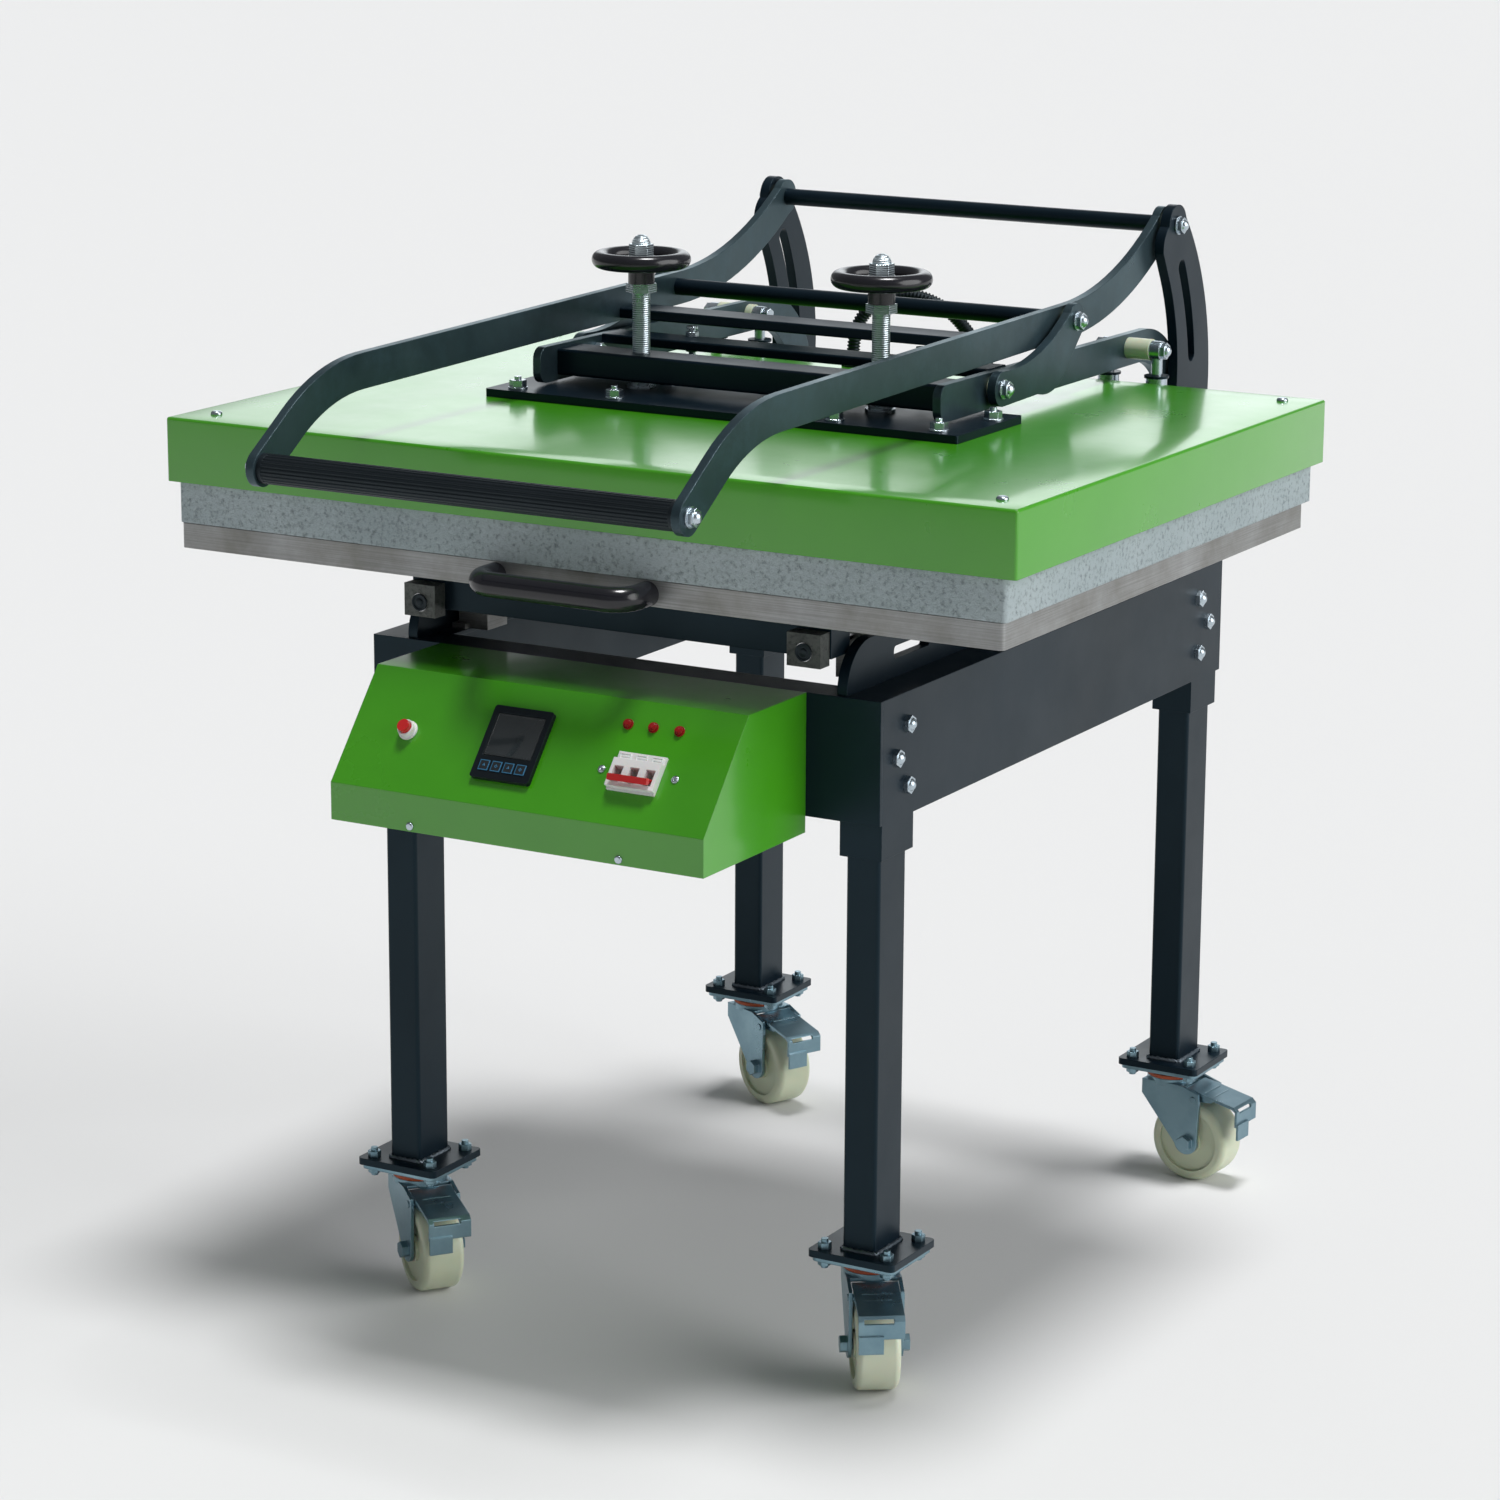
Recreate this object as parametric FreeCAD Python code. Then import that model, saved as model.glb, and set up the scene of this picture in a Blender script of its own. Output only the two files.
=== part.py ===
"""Large manual flat-bed press on a wheeled stand, as an assembly of separate pieces.

Units are millimetres. X runs along the front edge, Y runs from the front to the back and
Z runs up. While the pieces are made, Y is counted from the middle of the four legs; just
before they are written they are moved so that the origin is under the middle of the whole
press, on the floor.
"""
import FreeCAD, Part
import math
import os

V = FreeCAD.Vector
X_AXIS = V(1, 0, 0)
Y_AXIS = V(0, 1, 0)
Z_AXIS = V(0, 0, 1)

# ---------------------------------------------------------------- clearances
fit = 0.05             # radial clearance of a running or push fit
air = 0.3              # gap between pieces that move past each other
overlap = 1.0          # extra length of a cutting tool beyond a face

# ---------------------------------------------------------------- stand
frame_width = 638.0
frame_front = -430.0
frame_depth = 866.0
frame_bottom = 629.0
frame_top = 763.0
frame_sheet = 5.0
rail_inner = 244.0     # where a side rail's top flange ends, from the middle
rail_flange = frame_width / 2 - rail_inner
beam_flange = 40.0
leg_wide = 40.0        # tube size along X
leg_x = frame_width / 2 - frame_sheet - leg_wide / 2    # centre of a leg, against the rail's web
leg_y = 390.0
leg_deep = 60.0        # tube size along Y
leg_wall = 3.0
foot_top = 150.0       # top of the welded foot plates
foot_thick = 8.0
foot_wide = 105.0
foot_deep = 100.0
socket_wall = 5.0
socket_drop = 39.0     # how far a leg socket hangs below the side rail
frame_bolt_radius = 5.0
frame_nut_radius = 6.8  # round rivet nut inside a leg
frame_bolt_grip = 16.0 # reach of a frame bolt behind the rail's outer face
leg_corner = 4.0
foot_corner = 6.0
frame_bolt_spots = [(-20.0, 99.0), (5.0, 67.0), (-20.0, 33.0)]   # from leg centre, above rail bottom

# ---------------------------------------------------------------- upright side plates
plate_inner = 264.0
plate_thick = 12.0
guide_top = 817.0      # top edge of the low run of a side plate
upright_front = 384.0
upright_back = 474.0
pivot_boss = 24.0      # radius of the rounded top

# ---------------------------------------------------------------- linkage (Y, Z of each pivot)
lever_pivot = (375.0, 1170.0)
link_pivot = (112.0, 1090.0)
arm_pivot = (-71.0, 1037.5)
head_pivot = (407.0, 850.0)
pivot_bolt = 6.0       # shank radius of the linkage bolts
head_pin = 8.0         # shank radius of the head's pivot pins
steel_plate = 10.0     # thickness of levers, links and arms
lever_outer = 260.0    # outer face of levers and swing arms
lever_half = 19.5      # half the depth of a lever
lever_bend_y = 120.0   # where the straight run of a lever meets its rear curve
lever_bend_z = 1088.0
lever_knee_y = -540.0  # where the straight run meets the front curve
lever_slope = 0.9      # fall of the straight run towards the front, degrees
knee_radius = 230.0
knee_turn = 33.0
lever_tail = 68.0      # straight run from the front curve to the grip
rod_radius = 10.0      # tie rods
grip_radius = 16.0
grip_flutes = 24

# ---------------------------------------------------------------- swing arms and cross pieces
arm_front = -192.0
arm_bottom = 1015.0
arm_top = 1056.0
arm_back = 429.5
link_boss = 19.5       # radius of a link's rounded ends
tube_y = (-156.0, -108.0)
tube_z = (1021.0, 1051.0)
tube_wall = 4.0
middle_bar_y = (-60.0, -18.0)
middle_bar_thick = 11.0
brace_y = (-20.5, 24.5)
brace_z = (1069.0, 1081.0)

# ---------------------------------------------------------------- head
cover_half_width = 522.0
cover_y = (-530.0, 249.0)
cover_z = (931.3, 1002.5)
cover_sheet = 2.0
cover_lip = 18.0
platen_half_width = 509.5
platen_y = (-526.0, 245.0)
platen_z = (886.0, 931.0)
insulation_z = (931.3, 965.0)
pressure_half_width = 300.0
pressure_y = (-230.0, -75.0)
pressure_thick = 9.0
plate_bolt_spots = [(268.0, -211.0), (286.0, -118.0), (140.0, -211.0), (140.0, -95.0)]
plate_bolt_radius = 5.0
spindle_x = 153.5
spindle_y = -131.0
spindle_radius = 10.0
spindle_top = 1171.0
wheel_z = 1157.0
wheel_radius = 46.5    # to the middle of the rim
rim_radius = 9.5
cover_screw_x = 484.0
cover_screw_y = (-488.0, 213.0)
cover_screw_radius = 3.0
stop_screw_x = 149.0
stop_screw_y = -26.0
stop_screw_radius = 4.0
hanger_outer_x = 296.5 # centre of the outer eye studs
hanger_inner_x = 235.0 # centre of the inner eye studs
hanger_y = 281.0
hanger_z = 1036.0
hanger_eye = 13.0      # thickness of an eye
hanger_stud = hanger_eye / 2
hanger_bush = 12.5
spacer_radius = 12.5
bracket_top = 990.0
bracket_thick = 6.0
bracket_back = 302.0

# ---------------------------------------------------------------- sliding table
table_half_width = 507.0
table_y = (-526.0, 228.0)
table_z = (857.6, 885.6)
pad_thick = 8.0
pad_margin = 7.0
carriage_half_width = 262.0
carriage_front = -435.0
carriage_depth = 40.0
carriage_bottom = 803.0
slide_rod_x = 240.0
slide_rod_z = 812.0
slide_rod_radius = 10.0
slide_rod_y = (-455.0, 340.0)
bearing_spots = (-330.0, -40.0)
bearing_length = 40.0
handle_half_width = 94.0
handle_reach = 46.0
handle_z = 871.0
handle_radius = 13.5

# ---------------------------------------------------------------- control box
box_half_width = 230.0
box_top_front = -551.0
box_slope_end = (-642.0, 652.0)
box_bottom = 611.0
box_sheet = 2.0
controller_window = (-63.0, 9.5, 30.0, 115.0)    # X, X, then distances down the panel
breaker_window = (100.0, 157.5, 61.0, 105.0)
breaker_axle_down = 89.0
breaker_axle_radius = 2.0
breaker_nose = 9.0     # height of the breaker's raised middle
toggle_tilt = 25.0     # lean of the toggle from the panel's normal, each way
toggle_reach = 16.5
lamp_places = (97.0, 127.5, 159.0)
lamp_down = 29.0
lamp_radius = 6.0
lamp_thread = 4.0
lamp_dome = 5.0        # radius of the lamp's dome
lamp_flange = 2.0
button_x = -160.0
button_down = 72.0
button_thread = 9.0
button_collar = 11.0
button_cap = 7.0
panel_screw_places = [(85.4, 83.0), (173.8, 83.0)]
panel_screw_radius = 2.0

# ---------------------------------------------------------------- castors
castor_wheel_radius = 50.0
castor_wheel_width = 48.0
castor_trail = 36.0    # axle ahead of the swivel axis, towards the pedal
castor_yaw = {"front_left": -127.0, "front_right": -145.0, "rear_left": -115.0, "rear_right": -94.0}
castor_plate_thick = 5.0
castor_ring = 11.0     # height of the swivel bearing's fixed ring
castor_ring_radius = 28.0
castor_race_radius = 31.0
castor_stem = 8.0
fork_top = foot_top - foot_thick - castor_plate_thick - castor_ring - air
castor_bolt_radius = 4.0
castor_bolt_x = 38.0
castor_bolt_y = 36.0
axle_radius = 6.0
fork_sheet = 4.0
fork_gap = 2.0         # between a wheel's side and the fork
fork_crown = 8.0
pedal_axle = (44.0, 106.0)
pedal_axle_radius = 4.0
pedal_half_width = 25.0
pedal_reach = 101.0
pedal_sheet = 3.0

# ---------------------------------------------------------------- wiring conduit
conduit_radius = 8.0
conduit_bore = 5.0
conduit_gap = 0.6      # room for the conduit's foot to rock over its lower gland
conduit_route = [
    (-50.0, 180.0, 1013.0), (-50.0, 180.0, 1044.0), (-33.0, 185.0, 1073.0), (-4.0, 193.0, 1089.0),
    (28.0, 203.0, 1089.0), (56.0, 220.0, 1072.0), (74.0, 240.0, 1042.0), (84.0, 268.0, 1002.0),
    (92.0, 295.0, 950.0), (97.0, 325.0, 901.0), (101.0, 362.0, 857.0), (104.0, 397.0, 824.0),
    (105.0, 407.0, 801.0), (105.0, 407.0, 776.0),
]
gland_thread = 10.0
gland_flats = 24.0
mains_cable_hole = 6.0
mains_gland_place = (-120.0, 700.0)    # X and Z on the rear beam

# ---------------------------------------------------------------- fasteners
small_flats = 13.0     # across the flats
bolt_flats = 17.0
pin_flats = 22.0
spindle_nut_flats = 30.0
nut_height = 8.0
frame_cap_height = 10.0
cap_height = 11.0      # acorn nut on a linkage bolt
seat_radius = 11.0     # steel washer under a bolt head
seat_thick = 2.0
collar_radius = 17.0   # foot of a spindle's collar
nylon_radius = 13.0    # nylon washer at a pivot
lip_screw_x = 129.0
lip_screw_radius = 2.5

# ================================================================ helpers
def box(x0, x1, y0, y1, z0, z1):
    """A block between two corners."""
    low = V(min(x0, x1), min(y0, y1), min(z0, z1))
    return Part.makeBox(abs(x1 - x0), abs(y1 - y0), abs(z1 - z0), low)


def pin(radius, start, direction, length):
    """A round bar from a point along a direction."""
    return Part.makeCylinder(radius, length, V(*start), direction)


def cross_pin(radius, x0, x1, y, z):
    """A round bar along X between two X values."""
    return pin(radius, (min(x0, x1), y, z), X_AXIS, abs(x1 - x0))


def post(radius, x, y, z0, z1):
    """A round bar along Z between two heights."""
    return pin(radius, (x, y, z0), Z_AXIS, z1 - z0)


def fuse(pieces):
    """One solid made of pieces that touch or overlap."""
    whole = pieces[0]
    for piece in pieces[1:]:
        whole = whole.fuse(piece)
    return whole.removeSplitter()


def cut(shape, tools):
    """A shape less each of the tools."""
    for tool in tools:
        shape = shape.cut(tool)
    return shape


def group(pieces):
    """Separate solids kept together in one node."""
    return Part.makeCompound(pieces)


def mirrored(shape):
    """The same piece on the other side of the press."""
    return shape.mirror(V(0, 0, 0), X_AXIS)


def both_sides(shape):
    """A piece and its mirror image, as separate solids."""
    return [shape, mirrored(shape)]


def upright_edges(shape, direction):
    """The straight edges of a shape that run along a direction."""
    found = []
    for edge in shape.Edges:
        if isinstance(edge.Curve, Part.Line):
            if abs(edge.tangentAt(edge.FirstParameter).dot(direction)) > 0.999:
                found.append(edge)
    return found


def rounded_box(x0, x1, y0, y1, z0, z1, radius, direction):
    """A block with the edges along one direction rounded."""
    block = box(x0, x1, y0, y1, z0, z1)
    return block.makeFillet(radius, upright_edges(block, direction))


def hex_prism(flats, start, direction, length):
    """A hexagonal bar from a point along X or Z."""
    corner = flats / math.sqrt(3)
    points = []
    for step in range(7):
        angle = math.radians(60 * step + 30)
        a = corner * math.cos(angle)
        b = corner * math.sin(angle)
        if abs(direction.z) > 0.5:
            points.append(V(start[0] + a, start[1] + b, start[2]))
        else:
            points.append(V(start[0], start[1] + a, start[2] + b))
    face = Part.Face(Part.makePolygon(points))
    return face.extrude(direction * length)


def domed_nut(flats, start, direction, height):
    """An acorn nut: a hexagon with a round dome on top."""
    base = hex_prism(flats, start, direction, height * 0.55)
    radius = flats * 0.44
    middle = V(*start) + direction * (height - radius)
    ball = Part.makeSphere(radius, middle)
    keep = pin(flats, start, direction, height + overlap)
    return fuse([base, ball.common(keep)])


def pan_head(radius, start, direction, height):
    """A low domed screw head."""
    disc = pin(radius, start, direction, height)
    outer = [edge for edge in disc.Edges if isinstance(edge.Curve, Part.Circle)]
    top = max(outer, key=lambda edge: edge.Curve.Center.dot(direction))
    return disc.makeFillet(height * 0.8, [top])


def side_outline(steps, x0, x1):
    """A plate from an outline in Y and Z.

    A step (y, z) is a straight run to that point. A step ((y, z), (y, z)) is an arc through
    the first point that ends at the second.
    """
    def at(pair):
        return V(min(x0, x1), pair[0], pair[1])

    edges = []
    here = steps[0]
    for step in steps[1:] + [steps[0]]:
        if isinstance(step[0], tuple):
            edges.append(Part.Arc(at(here), at(step[0]), at(step[1])).toShape())
            here = step[1]
        else:
            if (at(here) - at(step)).Length > 1e-6:
                edges.append(Part.makeLine(at(here), at(step)))
            here = step
    face = Part.Face(Part.Wire(edges))
    return face.extrude(V(abs(x1 - x0), 0, 0))


def turned(y, z, angle):
    """A step in Y and Z turned about X by an angle in degrees."""
    swing = math.radians(angle)
    return (y * math.cos(swing) - z * math.sin(swing), y * math.sin(swing) + z * math.cos(swing))


def bar_run(start, end, half, x0, x1):
    """A straight piece of a plate between two centre points."""
    length = math.hypot(end[0] - start[0], end[1] - start[1])
    side_y = -(end[1] - start[1]) / length * half
    side_z = (end[0] - start[0]) / length * half
    corners = [
        (start[0] + side_y, start[1] + side_z),
        (end[0] + side_y, end[1] + side_z),
        (end[0] - side_y, end[1] - side_z),
        (start[0] - side_y, start[1] - side_z),
    ]
    return side_outline(corners, x0, x1)


def bend_run(centre, radius, first, last, half, x0, x1):
    """A curved piece of a plate about a centre, between two angles in degrees."""
    def on(r, angle):
        return (centre[0] + r * math.cos(math.radians(angle)),
                centre[1] + r * math.sin(math.radians(angle)))

    middle = (first + last) / 2
    inner = radius - half
    outer = radius + half
    return side_outline([
        on(outer, first), (on(outer, middle), on(outer, last)),
        on(inner, last), (on(inner, middle), on(inner, first)),
    ], x0, x1)


# ================================================================ stand
def make_rail():
    """Right side rail: an upright web, a top flange and two leg sockets below."""
    outer = frame_width / 2
    front = frame_front + frame_sheet
    back = frame_front + frame_depth - frame_sheet
    pieces = [
        box(outer - frame_sheet, outer, front, back, frame_bottom, frame_top),
        box(outer - rail_flange, outer, front, back, frame_top - frame_sheet, frame_top),
    ]
    socket_out = outer
    socket_in = leg_x - leg_wide / 2 - fit * 2 - socket_wall
    for side in (-1, 1):
        y = side * leg_y
        half = leg_deep / 2 + fit * 2
        sleeve = box(socket_in, socket_out, y - half - socket_wall, y + half + socket_wall,
                     frame_bottom - socket_drop, frame_bottom)
        hole = box(leg_x - leg_wide / 2 - fit * 2, outer - frame_sheet, y - half, y + half,
                   frame_bottom - socket_drop - overlap, frame_bottom + overlap)
        pieces.append(sleeve.cut(hole))
    rail = fuse(pieces)
    holes = []
    for y, z in frame_bolt_places():
        holes.append(cross_pin(frame_bolt_radius + fit, outer - rail_flange / 2, outer + overlap, y, z))
    return cut(rail, holes)


def frame_bolt_places():
    """Y and Z of the six bolts through one side rail."""
    places = []
    for side in (-1, 1):
        for dy, dz in frame_bolt_spots:
            places.append((side * (leg_y + dy), frame_bottom + dz))
    return places


def make_beam(face_y, inward):
    """Front or rear beam: a plate with a flange along its top and bottom."""
    outer = frame_width / 2
    inner = outer - rail_flange
    back_y = face_y + inward * frame_sheet
    flange_y = back_y + inward * beam_flange
    low_inner = leg_x - leg_wide / 2 - socket_wall - air * 2
    return fuse([
        box(-outer, outer, face_y, back_y, frame_bottom, frame_top),
        box(-inner, inner, back_y, flange_y, frame_top - frame_sheet, frame_top),
        box(-low_inner, low_inner, back_y, flange_y, frame_bottom, frame_bottom + frame_sheet),
    ])


def make_rear_beam():
    """Rear beam with the bored holes of its two cable glands."""
    face = frame_front + frame_depth
    beam = make_beam(face, -1)
    x, z = mains_gland_place
    mains = pin(gland_thread + fit, (x, face - 20, z), Y_AXIS, 40)
    end = conduit_route[-1]
    entry = post(gland_thread + fit, end[0], end[1], frame_top - 20, frame_top + 20)
    return cut(beam, [mains, entry])


def make_legs():
    """Four tube legs, each welded to a foot plate."""
    legs = []
    for sx in (-1, 1):
        for sy in (-1, 1):
            x = sx * leg_x
            y = sy * leg_y
            outside = rounded_box(x - leg_wide / 2, x + leg_wide / 2, y - leg_deep / 2, y + leg_deep / 2,
                                  foot_top, frame_top - frame_sheet, leg_corner, Z_AXIS)
            hollow = box(x - leg_wide / 2 + leg_wall, x + leg_wide / 2 - leg_wall,
                         y - leg_deep / 2 + leg_wall, y + leg_deep / 2 - leg_wall,
                         foot_top, frame_top)
            foot = rounded_box(x - foot_wide / 2, x + foot_wide / 2, y - foot_deep / 2, y + foot_deep / 2,
                               foot_top - foot_thick, foot_top, foot_corner, Z_AXIS)
            leg = fuse([outside.cut(hollow), foot])
            tools = []
            for dx, dy in castor_bolt_spots():
                tools.append(post(castor_bolt_radius + fit, x + dx, y + dy, foot_top - foot_thick - 1,
                                  foot_top + 1))
            for by, bz in frame_bolt_places():
                if by * sy > 0:
                    inner = sx * (leg_x + leg_wide / 2 - leg_wall - overlap)
                    outer = sx * (frame_width / 2)
                    tools.append(cross_pin(frame_bolt_radius + fit, inner, outer, by, bz))
            legs.append(cut(leg, tools))
    return group(legs)


def make_frame_bolts():
    """Domed bolts through the side rails, and the pan screws under the control box."""
    bolts = []
    outer = frame_width / 2
    for y, z in frame_bolt_places():
        wall = outer - frame_sheet - leg_wall
        shank = cross_pin(frame_bolt_radius, outer - frame_bolt_grip, outer + 1, y, z)
        head = domed_nut(bolt_flats, (outer, y, z), X_AXIS, frame_cap_height)
        nut = cross_pin(frame_nut_radius, wall - nut_height, wall, y, z)
        bolts.extend(both_sides(fuse([shank, head, nut])))
    for x in (-lip_screw_x, lip_screw_x):
        y = box_slope_end[0]
        z = box_bottom + 6
        head = pan_head(4.5, (x, y, z), -Y_AXIS, 2.5)
        bolts.append(fuse([pin(lip_screw_radius, (x, y - 1, z), Y_AXIS, 9), head]))
    return group(bolts)


def make_side_plate():
    """Right side plate: a low guide run with a round nose, and the tall upright at the back."""
    y0 = frame_front + frame_sheet
    top = lever_pivot
    z0 = frame_top
    plate = side_outline([
        (y0, z0),
        ((y0 + 14, guide_top - 16), (y0 + 50, guide_top)),
        (upright_front - 46, guide_top),
        ((upright_front - 13.5, guide_top + 13.5), (upright_front, guide_top + 46)),
        (upright_front, 980.0),
        ((upright_front - 5.5, 1046.0), (upright_front - 28, 1106.0)),
        ((upright_front - 37, 1122.0), (upright_front - 47, 1140.0)),
        ((upright_front - 46, 1154.0), (top[0] - pivot_boss, top[1])),
        ((top[0], top[1] + pivot_boss), (top[0] + 23.0, top[1] + 7.0)),
        ((upright_back - 18, 1082.0), (upright_back, 965.0)),
        ((upright_back - 3, 880.0), (upright_back - 42, z0)),
    ], plate_inner, plate_inner + plate_thick)
    slot_half = 9.0
    slot_points = [(389.0, 1119.0), (411.0, 1066.0), (423.0, 1012.0)]
    (ya, za), (yb, zb), (yc, zc) = slot_points
    slot = side_outline([
        (ya - slot_half, za - 3), ((ya, za + slot_half), (ya + slot_half, za + 3)),
        ((yb + slot_half, zb + 3), (yc + slot_half, zc)),
        ((yc, zc - slot_half), (yc - slot_half, zc)),
        ((yb - slot_half, zb - 3), (ya - slot_half, za - 3)),
    ], plate_inner - overlap, plate_inner + plate_thick + overlap)
    window = rounded_box(plate_inner - overlap, plate_inner + plate_thick + overlap,
                         -322, -240, guide_top - 34, guide_top - 20, 5.0, X_AXIS)
    holes = [
        cross_pin(pivot_bolt + fit, plate_inner - 5, plate_inner + plate_thick + 5, *lever_pivot),
        cross_pin(head_pin + fit, plate_inner - 5, plate_inner + plate_thick + 5, *head_pivot),
    ]
    return cut(plate, [slot, window] + holes)


def make_cable_glands():
    """Mains cable gland on the back face and conduit gland on the rear beam's top flange."""
    face = frame_front + frame_depth
    x, z = mains_gland_place
    mains = fuse([
        pin(gland_thread, (x, face - frame_sheet - 12, z), Y_AXIS, frame_sheet + 14),
        pin(15.0, (x, face, z), Y_AXIS, 7),
        pin(12.0, (x, face + 7, z), Y_AXIS, 11),
        pin(14.0, (x, face - frame_sheet - 5, z), Y_AXIS, 5),
    ])
    mains = mains.cut(pin(mains_cable_hole, (x, face - 40, z), Y_AXIS, 80))
    end = conduit_route[-1]
    entry = fuse([
        post(gland_thread, end[0], end[1], frame_top - frame_sheet - 10, frame_top + 1),
        hex_prism(gland_flats, (end[0], end[1], frame_top), Z_AXIS, 6.0),
        post(11.0, end[0], end[1], frame_top + 6, end[2] - conduit_gap),
        hex_prism(gland_flats, (end[0], end[1], frame_top - frame_sheet - 6), Z_AXIS, 6.0),
    ])
    entry = entry.cut(post(conduit_bore, end[0], end[1], frame_top - 40, end[2] + 1))
    return group([mains, entry])


# ================================================================ control box
def box_slope():
    """Length and unit directions of the sloping panel."""
    dy = box_slope_end[0] - box_top_front
    dz = box_slope_end[1] - frame_top
    length = math.hypot(dy, dz)
    down = V(0, dy / length, dz / length)
    out = V(0, dz / length, -dy / length)
    return length, down, out


def on_panel(x, down_distance, out_distance):
    """A point on the sloping panel, measured from its top edge."""
    length, down, out = box_slope()
    return V(x, box_top_front, frame_top) + down * down_distance + out * out_distance


def panel_block(x0, x1, s0, s1, low, high, radius=0.0):
    """A block standing on the sloping panel."""
    length, down, out = box_slope()
    block = Part.makeBox(x1 - x0, s1 - s0, high - low)
    if radius > 0:
        block = block.makeFillet(radius, upright_edges(block, Z_AXIS))
    turn = FreeCAD.Rotation(X_AXIS, -down, out, "XZY")
    place = FreeCAD.Placement(on_panel(x0, s1, low), turn)
    block.Placement = place
    return block


def panel_post(x, s, radius, low, high):
    """A round piece standing on the sloping panel."""
    length, down, out = box_slope()
    return Part.makeCylinder(radius, high - low, on_panel(x, s, low), out)


def make_control_box():
    """Folded sheet box with a sloping panel and a back plate, cut out for its instruments."""
    back = frame_front
    t = box_sheet
    y_front, z_front = box_slope_end
    outside = side_outline([
        (back, box_bottom), (back, frame_top), (box_top_front, frame_top),
        (y_front, z_front), (y_front, box_bottom),
    ], -box_half_width, box_half_width)
    length, down, out = box_slope()
    top_step = t * (out.z - 1) / down.z
    top_y = box_top_front + top_step * down.y - t * out.y
    foot_step = t * (1 + out.y) / down.y
    foot_z = z_front + foot_step * down.z - t * out.z
    inside = side_outline([
        (back - t, box_bottom + t), (back - t, frame_top - t), (top_y, frame_top - t),
        (y_front + t, foot_z), (y_front + t, box_bottom + t),
    ], -box_half_width + t, box_half_width - t)
    shell = outside.cut(inside)
    x0, x1, s0, s1 = controller_window
    tools = [panel_block(x0 + 2 - fit, x1 - 2 + fit, s0 + 2 - fit, s1 - 2 + fit, -10, 10)]
    x0, x1, s0, s1 = breaker_window
    tools.append(panel_block(x0 - fit, x1 + fit, s0 - fit, s1 + fit, -10, 10))
    for x in lamp_places:
        tools.append(panel_post(x, lamp_down, lamp_thread + fit, -10, 10))
    tools.append(panel_post(button_x, button_down, button_thread + fit, -10, 10))
    for x, s in panel_screw_places:
        tools.append(panel_post(x, s, panel_screw_radius + fit, -10, 10))
    for x in (-lip_screw_x, lip_screw_x):
        tools.append(pin(lip_screw_radius + fit, (x, y_front - 5, box_bottom + 6), Y_AXIS, 10))
    return cut(shell, tools)


def make_controller():
    """Temperature controller: a bezel, a body behind the panel, a window and four keys."""
    x0, x1, s0, s1 = controller_window
    bezel = panel_block(x0, x1, s0, s1, 0, 6, 3.0)
    body = panel_block(x0 + 2, x1 - 2, s0 + 2, s1 - 2, -60, 0)
    solid = fuse([bezel, body])
    recess = panel_block(x0 + 6, x1 - 6, s0 + 8, s1 - 26, 5, 7, 2.0)
    solid = solid.cut(recess)
    keys = []
    for number in range(4):
        kx = x0 + 8 + number * 15
        keys.append(panel_block(kx, kx + 11, s1 - 20, s1 - 9, 6, 6.8, 2.0))
    return fuse([solid] + keys)


def make_panel_fittings():
    """Three pilot lamps, the collar of the start button and two pan screws by the breaker."""
    fittings = []
    for x in lamp_places:
        stem = panel_post(x, lamp_down, lamp_thread, -14, 0)
        flange = panel_post(x, lamp_down, lamp_radius, 0, lamp_flange)
        ball = Part.makeSphere(lamp_dome, on_panel(x, lamp_down, lamp_flange))
        dome = ball.common(panel_post(x, lamp_down, lamp_radius, 0, lamp_flange + lamp_radius))
        fittings.append(fuse([stem, flange, dome]))
    stem = panel_post(button_x, button_down, button_thread, -16, 1)
    flange = panel_post(button_x, button_down, button_collar, 0, 9)
    bore = panel_post(button_x, button_down, button_cap + air, -10, 10)
    fittings.append(fuse([stem, flange]).cut(bore))
    length, down, out = box_slope()
    for x, s in panel_screw_places:
        shank = panel_post(x, s, panel_screw_radius, -8, 1)
        fittings.append(fuse([shank, panel_post(x, s, panel_screw_radius * 2, 0, 2)]))
    return group(fittings)


def make_start_button():
    """Push button cap that slides in its collar."""
    return panel_post(button_x, button_down, button_cap, -6, 14)


def make_breaker():
    """Three-pole breaker: body behind the panel with a raised middle that holds the toggle."""
    x0, x1, s0, s1 = breaker_window
    body = panel_block(x0, x1, s0, s1, -50, 3)
    nose = panel_block(x0, x1, s0 + 10, s1 - 2, 3, breaker_nose)
    tools = []
    for middle in breaker_poles():
        tools.append(panel_block(middle - 5.5, middle + 5.5, breaker_axle_down - 9,
                                 breaker_axle_down + 9, -6, breaker_nose + 1))
    tools.append(breaker_rod(breaker_axle_radius + fit, 3))
    return cut(fuse([body, nose]), tools)


def breaker_poles():
    """X of the middle of each of the breaker's three poles."""
    x0, x1, s0, s1 = breaker_window
    pitch = (x1 - x0) / 3
    return [x0 + pitch * (pole + 0.5) for pole in range(3)]


def breaker_rod(radius, inset):
    """A rod along the toggle's turning axis."""
    x0, x1, s0, s1 = breaker_window
    start = on_panel(x0 + inset, breaker_axle_down, 0)
    return Part.makeCylinder(radius, x1 - x0 - inset * 2, start, X_AXIS)


def make_breaker_toggle():
    """Three toggle levers on one rod, joined by a cross bar, leaning down to their off side."""
    x0, x1, s0, s1 = breaker_window
    s = breaker_axle_down
    pieces = [breaker_rod(breaker_axle_radius, 3)]
    for middle in breaker_poles():
        pieces.append(panel_post(middle, s, 2.4, 0, toggle_reach))
    pieces.append(panel_block(x0 + 5, x1 - 5, s - 3.5, s + 3.5, toggle_reach - 3, toggle_reach + 3, 1.5))
    toggle = fuse(pieces)
    toggle.rotate(on_panel(0, s, 0), X_AXIS, toggle_tilt)
    return toggle


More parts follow.
